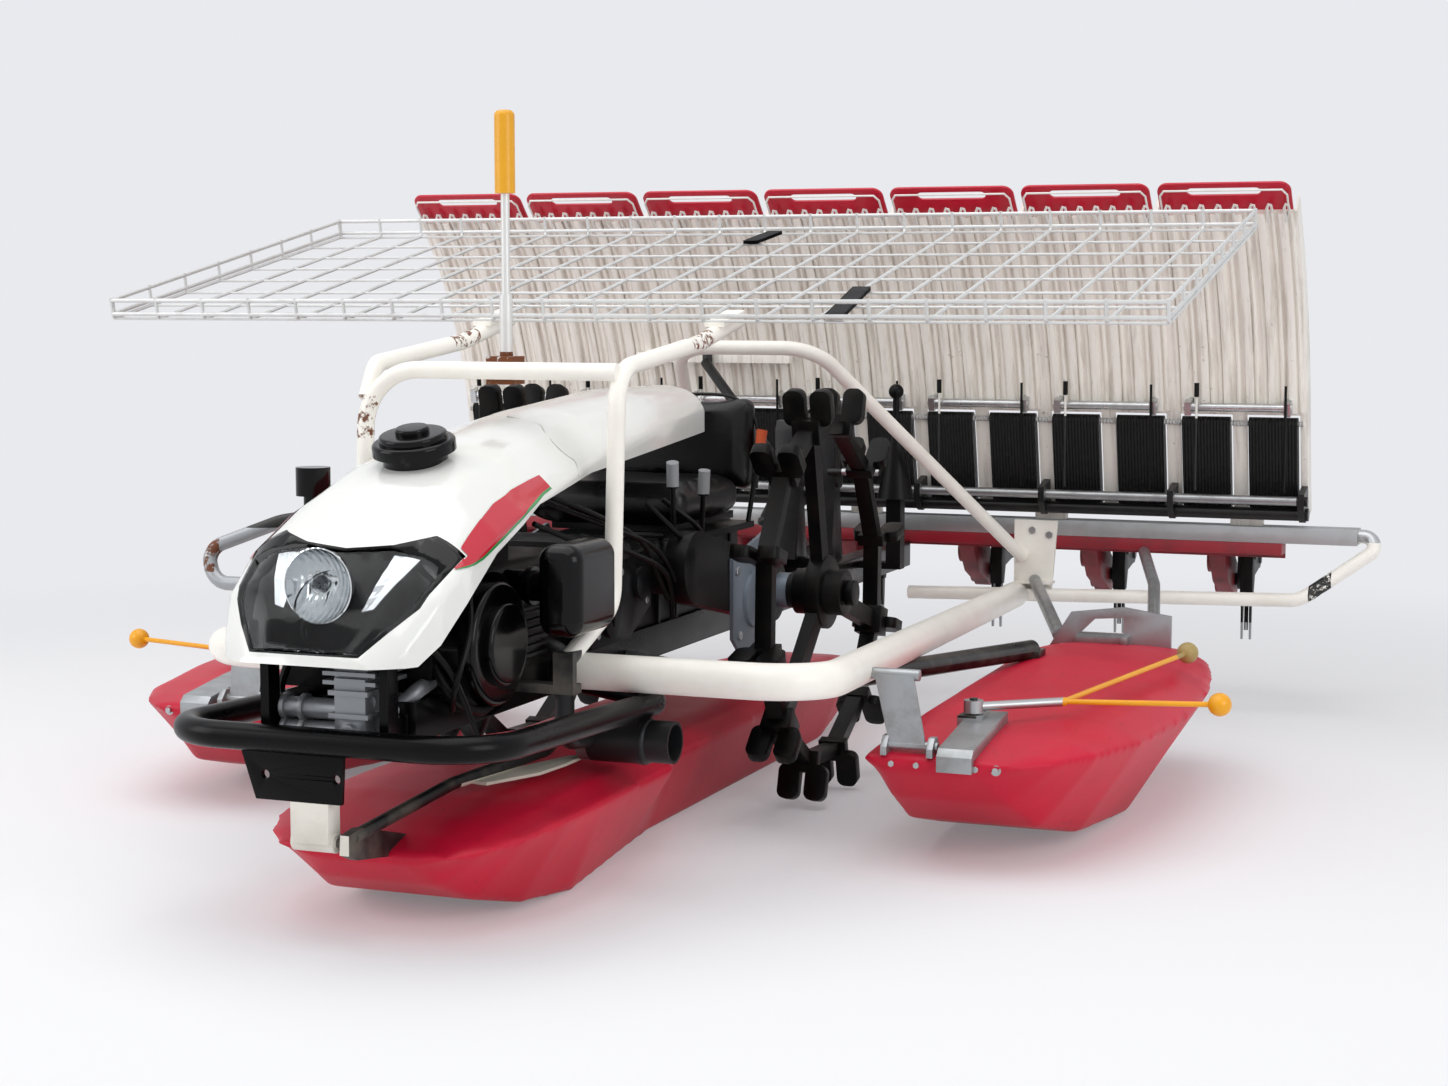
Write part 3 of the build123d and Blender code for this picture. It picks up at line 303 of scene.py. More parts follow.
def settle(piece, name, material, body, smooth=None):
    """Fixes a new piece's place in its mesh, and gives it its name, material and body."""
    for other in bpy.context.selected_objects:
        other.select_set(False)
    piece.select_set(True)
    bpy.context.view_layer.objects.active = piece
    if piece.type != "MESH":
        bpy.ops.object.convert(target="MESH")
        piece = bpy.context.object
    bpy.ops.object.transform_apply(location=True, rotation=True, scale=True)
    if smooth:
        bpy.ops.object.shade_smooth_by_angle(angle=radians(smooth))
    piece.name = name
    piece.data.materials.clear()
    piece.data.materials.append(material)
    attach(piece, body)
    return piece


def wires(name, runs, diameter, material, body, sides=8):
    """Round wires or hoses, each along a run of corner points, as one piece."""
    curve = bpy.data.curves.new(name, "CURVE")
    curve.dimensions = "3D"
    curve.bevel_depth = diameter / 2
    curve.bevel_resolution = (sides - 4) // 2
    curve.use_fill_caps = True
    for run in runs:
        spline = curve.splines.new("POLY")
        spline.points.add(len(run) - 1)
        for point, corner in zip(spline.points, run):
            point.co = (*corner, 1)
    piece = bpy.data.objects.new(name, curve)
    bpy.context.collection.objects.link(piece)
    return settle(piece, name, material, body, 40)


def smooth_run(corners, steps=8):
    """Points of a smooth curve through the corner points."""
    points = []
    ends = [corners[0], *corners, corners[-1]]
    for before, start, end, after in zip(ends, ends[1:], ends[2:], ends[3:]):
        for i in range(steps):
            t = i / steps
            bend = (2 * before - 5 * start + 4 * end - after) * t * t
            twist = (3 * start - before - 3 * end + after) * t ** 3
            points.append(0.5 * (2 * start + (end - before) * t + bend + twist))
    return [*points, corners[-1]]


# -------------------- nose
# Grey finned casting and the black closed engine behind the bumper, with its fan cover, moulded
# air cleaner, exhaust, and the hoses and control cables clipped between them.
# The sand-cast skin is dull and grainy, dark with oil in patches
casting = finish("grey_sand_cast_aluminium", "#8b8e92", "#3a3732", 0.38, 0.45, metallic=0.55, patch=18,
                 grain=240, relief=0.3)
dress("front_casting", casting, edge=0.0012)
# Paint over rough cast iron: a low black sheen, broken up by the grain
engine_black = finish("black_cast_iron_with_oil", "#050506", "#2a251f", 0.3, 0.25, patch=16, grain=260,
                      relief=0.25, specular=0.14)
dress("engine", engine_black, edge=0.0015)
# Injection-moulded and smooth: a tight, dark gloss
gloss_moulding = finish("glossy_black_moulded_plastic", "#030304", "#151412", 0.14, 0.06, coat=0.1, grain=600,
                        relief=0.02, specular=0.16)
for name in ("recoil_starter", "air_cleaner", "fuel_cap", "intake_cap"):
    dress(name, gloss_moulding, smooth=40)
# Sheet steel browned by heat: dull, but for one bare end
exhaust_skin = finish("heat_stained_steel", "#232527", "#3a352e", 0.4, 0.4, metallic=0.5, patch=24, grain=300,
                      relief=0.15, zones=[
    ((0.1, -0.66, 0.15), (0.14, -0.55, 0.24), "#8a8c8e", 0.85, 0.4, 1)])
dress("muffler", exhaust_skin)
# Silver paint on a bent bar: a soft metal sheen, black along its top and rusting outside
handle_paint = finish("silver_paint_on_steel_bar", "#a9acaf", "#6b665e", 0.32, 0.25, metallic=0.4, zones=[
    ((-0.37, -0.8, 0.47), (-0.1, -0.6, 0.52), "#0a0a0b", 0.0, 0.35, 1),
    ((-0.43, -0.8, 0.41), (-0.40, -0.6, 0.455), RUST, 0.0, 0.6, 0.5)])
dress("grab_handle", handle_paint)

# Extruded rubber: matt black under a little dust
rubber = finish("black_rubber_hose", "#050505", "#1d1b19", 0.36, 0.2, relief=0.1, specular=0.16)
hoses = [
    [(0.09, -0.99, 0.36), (0.13, -1.0, 0.31), (0.14, -0.94, 0.285), (0.12, -0.84, 0.3)],
    [(0.06, -1.0, 0.355), (0.0, -1.035, 0.35), (-0.06, -1.0, 0.34), (-0.09, -0.94, 0.33)],
    [(-0.09, -0.99, 0.37), (-0.1, -1.02, 0.31), (-0.06, -1.035, 0.29), (-0.02, -1.0, 0.31)],
]
HOSE_D, CABLE_D = 0.011, 0.0075
wires("fuel_hoses", [smooth_run([from_axle(*p) for p in run]) for run in hoses], HOSE_D, rubber, "machine")
cables = [
    [(0.112, -0.93, 0.47), (0.15, -0.99, 0.4), (0.145, -1.02, 0.33), (0.118, -0.98, 0.29)],
    [(0.05, -0.98, 0.44), (0.08, -1.03, 0.4), (0.06, -1.04, 0.372)],
    [(-0.04, -0.98, 0.43), (-0.06, -1.03, 0.39), (-0.03, -1.035, 0.35)],
    [(0.1, -0.62, 0.44), (0.135, -0.5, 0.46), (0.14, -0.38, 0.45), (0.12, -0.32, 0.442)],
    [(0.1, -0.66, 0.42), (0.14, -0.52, 0.43), (0.142, -0.4, 0.44)],
    [(0.12, -1.075, 0.4), (0.14, -1.021, 0.342), (0.15, -0.977, 0.262)],
    [(0.10, -0.69, 0.535), (0.14, -0.6, 0.5), (0.16, -0.491, 0.455), (0.16, -0.437, 0.407),
     (0.16, -0.389, 0.359)],
    [(0.10, -0.67, 0.52), (0.15, -0.55, 0.475), (0.165, -0.45, 0.44), (0.168, -0.37, 0.38),
     (0.15, -0.3, 0.35)],
    [(0.12, -0.6, 0.47), (0.16, -0.52, 0.44), (0.17, -0.42, 0.4), (0.155, -0.36, 0.33)],
    [(0.13, -0.4, 0.5), (0.165, -0.36, 0.45), (0.17, -0.31, 0.41), (0.16, -0.26, 0.36)],
    [(0.13, -0.34, 0.5), (0.172, -0.31, 0.46), (0.165, -0.25, 0.42), (0.15, -0.2, 0.37)],
    [(0.12, -0.75, 0.5), (0.15, -0.66, 0.46), (0.155, -0.58, 0.4), (0.14, -0.54, 0.34)],
]
wires("control_cables", [smooth_run([from_axle(*p) for p in run]) for run in cables], CABLE_D, rubber,
      "machine")


# -------------------- bolts
# Hexagon bolts with washers, headed from steel and zinc-plated: a bright grey that dulls in
# patches. They are screwed into the faces that they hold.
def hexagon_bolts(name, places, across, material, body):
    """Bolt heads with their washers, each at a place and pointing along a direction."""
    corners, head_height, head_middle = across * 0.577, across * 0.62, (0, 0, across * 0.45)
    washer_radius, washer_height, washer_middle = across * 0.92, across * 0.16, (0, 0, across * 0.08)
    heads = []
    for place, direction in places:
        head = begin(bpy.ops.mesh.primitive_cylinder_add, vertices=6, radius=corners, depth=head_height,
                     location=head_middle)
        with edit_mode():
            bpy.ops.mesh.bevel(offset=across * 0.05, segments=1, affect="EDGES")
            bpy.ops.mesh.primitive_cylinder_add(vertices=20, radius=washer_radius, depth=washer_height,
                                                location=washer_middle)
        head.location = place
        head.rotation_euler = Vector(direction).to_track_quat("Z", "Y").to_euler()
        heads.append(head)
    for head in heads:
        head.select_set(True)
    bpy.context.view_layer.objects.active = heads[0]
    bpy.ops.object.transform_apply(location=True, rotation=True, scale=True)
    bpy.ops.object.join()
    return settle(bpy.context.object, name, material, body)


zinc = finish("zinc_plated_steel", "#b9bbbd", "#6d675c", 0.28, 0.35, metallic=0.9, patch=60, grain=500)
front, left, up = (0, -1, 0), (1, 0, 0), (0, 0, 1)
bolt_places = [(from_axle(side * x, 1.012, z), front) for side in (-1, 1)
               for x, z in ((0.35, 0.338), (0.384, 0.33))]
bolt_places += [(from_axle(side * 0.19, y, z), (side, 0, 0)) for side in (-1, 1)
                for y, z in ((-0.04, 0.385), (-0.06, 0.3), (-0.18, 0.28), (-0.19, 0.38))]
PLATE_BOLT, CASE_BOLT = 0.013, 0.01  # across the flats
hexagon_bolts("plate_bolts", bolt_places, PLATE_BOLT, zinc, "machine")
case_bolts = [(from_axle(0.134, y, z), left)
              for y, z in ((-0.58, 0.33), (-0.58, 0.38), (-0.5, 0.41), (-0.41, 0.36))]
case_bolts += [(from_axle(x, -1.067, z), front) for x in (0.02, 0.05) for z in (0.268, 0.31, 0.334)]
hexagon_bolts("case_bolts", case_bolts, CASE_BOLT, zinc, "machine")


# -------------------- hood
# Injection-moulded hood in glossy white, with a red stripe and its green lower edge along each
# side, and the glossy black filler cap on top.
# Moulded ABS gives a hard, clear gloss over an almost pure white
hood_white = finish("white_glossy_abs", "#eaebe7", "#d2d1c7", 0.14, 0.22, coat=0.5, patch=5, grain=700,
                    relief=0.015)
dress("hood", hood_white, smooth=60)

STRIPE_FRONT, STRIPE_OFF_HOOD, STRIPE_GREEN = -1.014, 0.0012, 0.14
STRIPE = [  # distance behind the front of the stripe, lower edge, upper edge
    (0.0, 0.4685, 0.4715), (0.013, 0.4700, 0.4820), (0.030, 0.4715, 0.4930), (0.052, 0.4760, 0.5040),
    (0.085, 0.4880, 0.5200), (0.133, 0.5050, 0.5370), (0.186, 0.5240, 0.5500), (0.242, 0.5400, 0.5590),
    (0.271, 0.5460, 0.5630)]
stripe_film, tree = new_material("printed_stripe_film")
# Screen-printed film: one flat ink with a green line along its foot, smooth as the hood
film_uv = add_node(tree, "UVMap", uv_map="UVMap")
film_sides = add_node(tree, "SeparateXYZ", Vector=film_uv)
low_edge = add_node(tree, "Math", operation="LESS_THAN", in_0=film_sides.outputs[1], in_1=STRIPE_GREEN)
film_ink = add_node(tree, "Mix", data_type="RGBA", Factor=low_edge,
                    in_6=linear("#c00a2a"), in_7=linear("#2d8a4a"))
skin = add_node(tree, "BsdfPrincipled", Base_Color=film_ink.outputs[2], Roughness=0.18, Coat_Weight=0.4)
add_node(tree, "OutputMaterial", Surface=skin)


def turn_faces_over():
    """Turns the active piece's faces to point the other way."""
    with edit_mode():
        bpy.ops.mesh.select_all(action="SELECT")
        bpy.ops.mesh.flip_normals()


# The film starts beside the hood, and what doesn't land on it within its reach is taken off
BESIDE_HOOD, HOOD_REACH = 0.2, 0.17
for side, name in ((1, "stripe_left"), (-1, "stripe_right")):
    stripe = begin(bpy.ops.mesh.primitive_grid_add, x_subdivisions=60, y_subdivisions=12, size=1,
                   calc_uvs=True)
    for vertex in stripe.data.vertices:
        run = (vertex.co.x + 0.5) * STRIPE[-1][0]
        height = vertex.co.y + 0.5
        for start, end in zip(STRIPE, STRIPE[1:]):
            if start[0] - 1e-6 <= run <= end[0] + 1e-6:
                t = (run - start[0]) / (end[0] - start[0])
                low, high = [start[i] + (end[i] - start[i]) * t for i in (1, 2)]
        vertex.co = from_axle(side * BESIDE_HOOD, STRIPE_FRONT + run, low + (high - low) * height)
    wrap = stripe.modifiers.new("wrap", "SHRINKWRAP")
    wrap.target = nodes["hood"]
    wrap.wrap_method = "PROJECT"
    wrap.use_project_x = True
    wrap.use_negative_direction = side > 0
    wrap.use_positive_direction = side < 0
    wrap.wrap_mode = "ABOVE_SURFACE"
    wrap.offset = STRIPE_OFF_HOOD
    bpy.ops.object.modifier_apply(modifier="wrap")
    with edit_mode():
        bpy.ops.mesh.select_all(action="DESELECT")
    for vertex in stripe.data.vertices:
        vertex.select = abs(vertex.co.x) > HOOD_REACH
    with edit_mode():
        bpy.ops.mesh.delete(type="VERT")
    if side < 0:
        turn_faces_over()
    settle(stripe, name, stripe_film, "machine", 60)

# The joint between the hood's front and rear mouldings, drawn as a grey line a shade darker than
# the white: a painted shadow of the step where they meet
SEAM_WIDTH = 0.0022
joint_line_painted_shadow = finish("soft_grey_seam_in_the_moulding", "#bcbdb6", "#8f8f88", 0.4, 0.2)
seam = [(0.0, -0.583, 0.6305), (0.053, -0.594, 0.6205), (0.074, -0.618, 0.6115), (0.097, -0.634, 0.5955),
        (0.112, -0.632, 0.5825), (0.123, -0.626, 0.5725), (0.136, -0.645, 0.5565)]
wires("hood_seam", [smooth_run([from_axle(*p) for p in seam])], SEAM_WIDTH, joint_line_painted_shadow, "machine", 6)


# -------------------- headlamp
# A black moulded housing with a chromed bowl and two chromed side cells, under a clear lens that
# follows the nose.
lamp_low, lamp_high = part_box("headlamp")
lamp_middle = (lamp_low + lamp_high) / 2


def lamp_copy(name, shrink=1.0, shift=0.0):
    """A closed copy of the lamp's solid, drawn in towards its middle and moved back."""
    piece = nodes["headlamp"].copy()
    piece.data = nodes["headlamp"].data.copy()
    piece.parent = None
    for key in [k for k in piece.keys() if k.startswith("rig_")]:
        del piece[key]
    piece.name = name
    bpy.context.collection.objects.link(piece)
    bpy.ops.object.select_all(action="DESELECT")
    piece.select_set(True)
    bpy.context.view_layer.objects.active = piece
    with edit_mode():
        bpy.ops.mesh.select_all(action="SELECT")
        bpy.ops.mesh.remove_doubles(threshold=WELD)
    for vertex in piece.data.vertices:
        vertex.co.x = lamp_middle.x + (vertex.co.x - lamp_middle.x) * shrink
        vertex.co.z = lamp_middle.z + (vertex.co.z - lamp_middle.z) * shrink
        vertex.co.y += shift
    return piece


def cut(piece, tool, operation):
    """Applies a boolean and removes the tool."""
    bpy.context.view_layer.objects.active = piece
    made = piece.modifiers.new("cut", "BOOLEAN")
    made.object = tool
    made.operation = operation
    made.solver = "EXACT"
    bpy.ops.object.modifier_apply(modifier="cut")
    bpy.data.objects.remove(tool)


RECESS_SHRINK, RECESS_SHIFT, LENS_SHRINK, LENS_SHIFT = 0.94, -0.03, 0.939, -0.0005
LENS_INSIDE_SHRINK, LENS_THICKNESS = 0.96, 0.003
housing = lamp_copy("lamp_housing")
cut(housing, lamp_copy("recess", RECESS_SHRINK, RECESS_SHIFT), "DIFFERENCE")
lens = lamp_copy("lamp_lens", LENS_SHRINK, LENS_SHIFT)
cut(lens, lamp_copy("behind_lens", LENS_INSIDE_SHRINK, LENS_THICKNESS), "DIFFERENCE")

# Chromed under vacuum over moulded flutes 7.5 mm apart: a mirror broken up into bands
chrome, tree = new_material("vacuum_chromed_plastic")
chrome_place = add_node(tree, "TexCoord").outputs["Object"]
flutes = add_node(tree, "TexWave", Vector=chrome_place, bands_direction="X", Scale=42.0)
flute_relief = add_node(tree, "Bump", Height=flutes.outputs[1], Strength=0.2, Distance=0.002)
skin = add_node(tree, "BsdfPrincipled", Base_Color=linear("#dcdfe1"), Metallic=1.0, Roughness=0.1,
                Normal=flute_relief)
add_node(tree, "OutputMaterial", Surface=skin)
# Chrome under a smoked clear coat: pale, with blurred reflections
smoked_chrome = finish("smoked_chromed_cells", "#e6e8ea", "#a9adb0", 0.16, 0.25, metallic=0.45, patch=40)
# Clear and polished. Its index is under polycarbonate's own, as a thin shell hardly bends light
clear_lens, tree = new_material("clear_polycarbonate")
skin = add_node(tree, "BsdfPrincipled", Base_Color=linear("#f6f8f8"), Roughness=0.02, IOR=1.2,
                Transmission_Weight=1.0)
add_node(tree, "OutputMaterial", Surface=skin)

FACING_FORWARD = (pi / 2, 0, 0)
BOWL_RADIUS, LAMP_WALL = 0.045, 0.0015
BOWL_RINGS = (0.012, 0.92), (0.014, 0.82), (0.012, 0.66), (0.008, 0.42), (0.003, 0.3)  # depth, shrink
bowl = begin(bpy.ops.mesh.primitive_circle_add, vertices=48, radius=BOWL_RADIUS, fill_type="NOTHING",
             rotation=FACING_FORWARD, location=from_axle(0.0, -1.095, 0.452))
with edit_mode():
    for depth, shrink in BOWL_RINGS:
        bpy.ops.mesh.extrude_region_move(TRANSFORM_OT_translate={"value": (0, depth, 0)})
        bpy.ops.transform.resize(value=(shrink, 1, shrink))
    bpy.ops.mesh.edge_face_add()
    bpy.ops.mesh.select_all(action="SELECT")
    bpy.ops.mesh.normals_make_consistent(inside=True)
wall = bowl.modifiers.new("wall", "SOLIDIFY")
wall.thickness = LAMP_WALL
bpy.ops.object.modifier_apply(modifier="wall")
bowl = settle(bowl, "lamp_bowl", chrome, "machine", 30)

BULB_RADIUS, BULB_STRETCH = 0.011, 1.7
bulb = begin(bpy.ops.mesh.primitive_uv_sphere_add, segments=20, ring_count=12, radius=BULB_RADIUS,
             location=from_axle(0.0, -1.085, 0.452))
with edit_mode():
    bpy.ops.transform.resize(value=(1, BULB_STRETCH, 1))
bulb = settle(bulb, "lamp_bulb", clear_lens, "machine", 60)

SHIELD_RADIUS, SHIELD_DEPTH = 0.0085, 0.01
shield = begin(bpy.ops.mesh.primitive_cylinder_add, vertices=24, radius=SHIELD_RADIUS, depth=SHIELD_DEPTH,
               rotation=FACING_FORWARD, location=from_axle(0.004, -1.094, 0.457))
with edit_mode():
    bpy.ops.mesh.bevel(offset=0.0012, segments=2, affect="EDGES")
# Darkened chrome: grey, with blurred reflections
shield_grey = finish("dark_chromed_bulb_shield", "#4b4e52", "#2a2b2d", 0.18, 0.2, metallic=0.9,
                     patch=60)
shield = settle(shield, "lamp_bulb_shield", shield_grey, "machine", 40)

cells = []
CELL_STEPS, CELL_FOLD, CELL_BEHIND_LENS, BEFORE_NOSE = 10, 0.002, 0.006, -1.3
for side in (-1, 1):
    cell = begin(bpy.ops.mesh.primitive_grid_add, x_subdivisions=CELL_STEPS, y_subdivisions=4, size=1)
    folds = []
    for vertex in cell.data.vertices:
        # Up the cell from the nose, and across it from the bowl outwards
        up_cell, over_cell = vertex.co.x + 0.5, vertex.co.y + 0.5
        folds.append(CELL_FOLD if round(up_cell * CELL_STEPS) % 2 and over_cell < 0.5 else 0.0)
        inner = Vector((0.054 + 0.012 * up_cell, BEFORE_NOSE, 0.426 + 0.070 * up_cell))
        outer = Vector((0.068 + 0.042 * up_cell, BEFORE_NOSE, 0.429 + 0.074 * up_cell))
        place = inner.lerp(outer, over_cell)
        vertex.co = from_axle(side * place.x, place.y, place.z)
    against = cell.modifiers.new("against", "SHRINKWRAP")
    against.target = nodes["headlamp"]
    against.wrap_method = "PROJECT"
    against.use_project_y = True
    against.use_positive_direction = True
    against.wrap_mode = "ABOVE_SURFACE"
    against.offset = -CELL_BEHIND_LENS
    bpy.ops.object.modifier_apply(modifier="against")
    for vertex, fold in zip(cell.data.vertices, folds):
        vertex.co.y += fold
    if side > 0:
        turn_faces_over()
    thick = cell.modifiers.new("thick", "SOLIDIFY")
    thick.thickness = LAMP_WALL
    bpy.ops.object.modifier_apply(modifier="thick")
    cells.append(settle(cell, "lamp_cell_" + ("left" if side > 0 else "right"), smoked_chrome, "machine"))

# Polished black plastic: nearly black, with sharp reflections
bezel = finish("glossy_black_lamp_housing", "#020203", "#0c0c0d", 0.07, 0.05, coat=0.1, relief=0.01,
               specular=0.2)
housing = settle(housing, "lamp_housing", bezel, "machine", 40)
lens = settle(lens, "lamp_lens", clear_lens, "machine", 40)
for piece in (housing, lens, bowl, bulb, shield, *cells):
    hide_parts("headlamp")


# -------------------- seedling rack
# A basket of round steel wire, welded where the wires cross and galvanised: the floor's wires
# turn up at the rim, past two wires that run right round. Two black straps lie across it.
rack_low, rack_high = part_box("rack")
rack_half = (rack_high.x - rack_low.x) / 2
rack_tilt = radians(11.3)
rack_start = from_axle(0, -0.285, 0.758)
RACK_DEPTH, RIM_HEIGHT, FLOOR_WIRE, RIM_WIRE = 0.752, 0.0335, 0.0062, 0.0068
LONG_WIRES, CROSS_WIRES = 21, 8
WIRE_BEND = 0.004  # each long wire turns up through a corner of this size
ROUND_WIRES, CROSS_WIRE_HEIGHT = (0.0075, RIM_HEIGHT - 0.004), -0.001


def on_rack(x, run, height):
    """A point on the tilted rack: across, back from its front edge, and above its floor."""
    return Vector((x, rack_start.y + run * cos(rack_tilt) - height * sin(rack_tilt),
                   rack_start.z + run * sin(rack_tilt) + height * cos(rack_tilt)))


galvanised_wire = finish("galvanised_wire", "#d9dad9", "#a39f96", 0.34, 0.3, metallic=0.3, patch=30,
                         grain=500)
edge = RIM_WIRE / 2
runs = []
for i in range(LONG_WIRES):
    x = -rack_half + edge + i * 2 * (rack_half - edge) / (LONG_WIRES - 1)
    runs.append([on_rack(x, edge, RIM_HEIGHT), on_rack(x, edge, WIRE_BEND), on_rack(x, edge + WIRE_BEND, 0),
                 on_rack(x, RACK_DEPTH - edge - WIRE_BEND, 0), on_rack(x, RACK_DEPTH - edge, WIRE_BEND),
                 on_rack(x, RACK_DEPTH - edge, RIM_HEIGHT)])
for i in range(CROSS_WIRES):
    run = edge + WIRE_BEND + i * (RACK_DEPTH - 2 * edge - 2 * WIRE_BEND) / (CROSS_WIRES - 1)
    runs.append([on_rack(-rack_half + edge, run, RIM_HEIGHT),
                 on_rack(-rack_half + edge, run, CROSS_WIRE_HEIGHT),
                 on_rack(rack_half - edge, run, CROSS_WIRE_HEIGHT),
                 on_rack(rack_half - edge, run, RIM_HEIGHT)])
floor_wires = wires("rack_floor_wires", runs, FLOOR_WIRE, galvanised_wire, "machine", 6)
rims = []
corner = rack_half - edge
for height in ROUND_WIRES:
    rims.append([on_rack(x, run, height) for x, run in (
        (-corner, edge), (corner, edge), (corner, RACK_DEPTH - edge), (-corner, RACK_DEPTH - edge),
        (-corner, edge))])
rim_wires = wires("rack_rim_wires", rims, RIM_WIRE, galvanised_wire, "machine")
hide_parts("rack")
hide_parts("rack")

# Moulded rubber: matt black, greyed by dust
webbing = finish("black_rubber_strap", "#070708", "#1f1d1b", 0.5, 0.2, relief=0.2, specular=0.14)
STRAPS = [(0.373, 0.005, 0.348, 0.22), (0.017, 0.625, 0.029, 0.72)]  # across and back, at each end
STRAP_WIDTH, STRAP_THICKNESS, STRAP_HEIGHT, STRAP_EDGE = 0.028, 0.005, 0.006, 0.0012
for i, (x0, run0, x1, run1) in enumerate(STRAPS):
    start, end = on_rack(x0, run0, STRAP_HEIGHT), on_rack(x1, run1, STRAP_HEIGHT)
    strap = begin(bpy.ops.mesh.primitive_cube_add, size=1, location=(start + end) / 2)
    with edit_mode():
        bpy.ops.transform.resize(value=(STRAP_WIDTH, (end - start).length, STRAP_THICKNESS))
        bpy.ops.mesh.subdivide(number_cuts=5)
        bpy.ops.mesh.bevel(offset=STRAP_EDGE, segments=2, affect="EDGES")
    strap.rotation_euler = (end - start).to_track_quat("Y", "Z").to_euler()
    settle(strap, f"rack_strap_{i + 1}", webbing, "machine", 40)

# Glossy yellow moulded grip on a white painted rod that rusts at its foot
pole_paint = finish("white_rod_with_yellow_grip", "#e4a315", "#a06a12", 0.3, 0.2, zones=[
    ((-0.03, -0.64, 0.7), (0.05, -0.57, 0.9345), "#dcdcda", 0.35, 0.32, 1),
    ((-0.03, -0.64, 0.66), (0.05, -0.57, 0.7), "#8a8078", 0.6, 0.5, 1),
    ((-0.03, -0.64, 0.66), (0.05, -0.57, 0.72), RUST, 0.0, 0.75, 0.8)])
dress("sighting_pole", pole_paint)


# -------------------- driver's place
# Seat in black vinyl over foam, its cover pulled down over the edges; steel hand levers with
# moulded grips, and a tall lever with its rubber boot behind the seat.
# Vinyl embossed with a leather grain 2.4 mm across, over soft creases 45 mm apart: a broken sheen
VINYL_GRAIN, VINYL_CREASES = 420.0, 22.0
vinyl, tree = new_material("black_seat_vinyl")
vinyl_place = add_node(tree, "TexCoord").outputs["Object"]
leather = add_node(tree, "TexVoronoi", Vector=vinyl_place, Scale=VINYL_GRAIN)
creases = add_node(tree, "TexNoise", Vector=vinyl_place, Scale=VINYL_CREASES, Detail=4.0)
both = add_node(tree, "Math", operation="MULTIPLY_ADD", in_0=creases, in_1=2.0, in_2=leather)
vinyl_relief = add_node(tree, "Bump", Height=both, Strength=0.25, Distance=0.0008)
skin = add_node(tree, "BsdfPrincipled", Base_Color=linear("#060607"), Roughness=0.34,
                Specular_IOR_Level=0.35, Normal=vinyl_relief)
add_node(tree, "OutputMaterial", Surface=skin)

PAD_VOXEL, AIR_PRESSURE, AIR_STEPS, PAD_ROUND, SWELL = 0.006, 4, 16, 0.36, 0.008


def cushion(name, low, high, swell):
    """A foam pad in vinyl between two corners: rounded, then puffed up by simulated air."""
    pad = begin(bpy.ops.mesh.primitive_cube_add, size=1, location=(low + high) / 2)
    size = high - low
    with edit_mode():
        bpy.ops.transform.resize(value=(size.x - swell, size.y - swell, size.z - swell))
        bpy.ops.mesh.bevel(offset=min(size) * PAD_ROUND, segments=4, affect="EDGES")
    bpy.ops.object.transform_apply(location=True, rotation=True, scale=True)
    pad.data.remesh_voxel_size = PAD_VOXEL
    bpy.ops.object.voxel_remesh()
    before = [vertex.co.copy() for vertex in pad.data.vertices]
    puff = pad.modifiers.new("puff", "CLOTH")
    puff.settings.use_pressure = True
    puff.settings.uniform_pressure_force = AIR_PRESSURE
    puff.settings.effector_weights.gravity = 0
    for step in range(1, AIR_STEPS + 1):
        scene.frame_set(step)
    puffed = pad.evaluated_get(bpy.context.evaluated_depsgraph_get())
    after = [vertex.co.copy() for vertex in puffed.data.vertices]
    pad.modifiers.remove(puff)
    scene.frame_set(1)
    for vertex, old, new in zip(pad.data.vertices, before, after):
        move = new - old
        if move.length > swell:
            move *= swell / move.length
        vertex.co = old + move
    soft = pad.modifiers.new("soft", "SUBSURF")
    soft.levels = soft.render_levels = 1
    bpy.ops.object.modifier_apply(modifier="soft")
    pad = settle(pad, name, vinyl, "machine")
    bpy.ops.object.shade_smooth()
    return pad


backrest = cushion("seat_backrest", from_axle(-0.15, -0.01, 0.484), from_axle(0.15, 0.036, 0.638), SWELL)
squab = cushion("seat_squab", from_axle(-0.14, -0.27, 0.454), from_axle(0.14, -0.012, 0.512), SWELL)
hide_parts("seat")
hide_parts("seat")
PIPING_D = 0.005
piping = [from_axle(x, 0.014, z) for x, z in (
    (-0.146, 0.49), (-0.146, 0.59), (-0.105, 0.634), (0.0, 0.6375), (0.105, 0.634), (0.146, 0.59),
    (0.146, 0.49))]
wires("seat_piping", [smooth_run(piping)], PIPING_D, vinyl, "machine")

# Black paint on steel rod, with grips of glossy coloured plastic
lever_steel = finish("black_levers_with_coloured_grips", "#070708", "#2a2723", 0.32, 0.2, specular=0.14,
                     zones=[
    ((0.13, -0.03, 0.546), (0.18, 0.05, 0.63), "#d9623c", 0.0, 0.35, 1),
    ((0.13, -0.40, 0.52), (0.18, -0.35, 0.60), "#8f9295", 0.1, 0.35, 1),
    ((0.13, -0.40, 0.578), (0.18, -0.35, 0.60), "#c43a24", 0.0, 0.35, 1),
    ((0.13, -0.26, 0.5), (0.18, -0.22, 0.58), "#8d8f91", 0.1, 0.35, 1)])
dress("levers", lever_steel, smooth=40)
# Dark paint on rough castings: a dull sheen, and one end of bare bright steel
stay_paint = finish("dark_cast_brackets", "#17181a", "#35312b", 0.34, 0.35, metallic=0.3, patch=20, grain=240,
                    relief=0.25, zones=[
    ((0.068, 0.6, 0.44), (0.2, 0.75, 0.49), BARE_STEEL, 0.9, 0.3, 1)])
dress("table_stays", stay_paint, edge=0.0012)


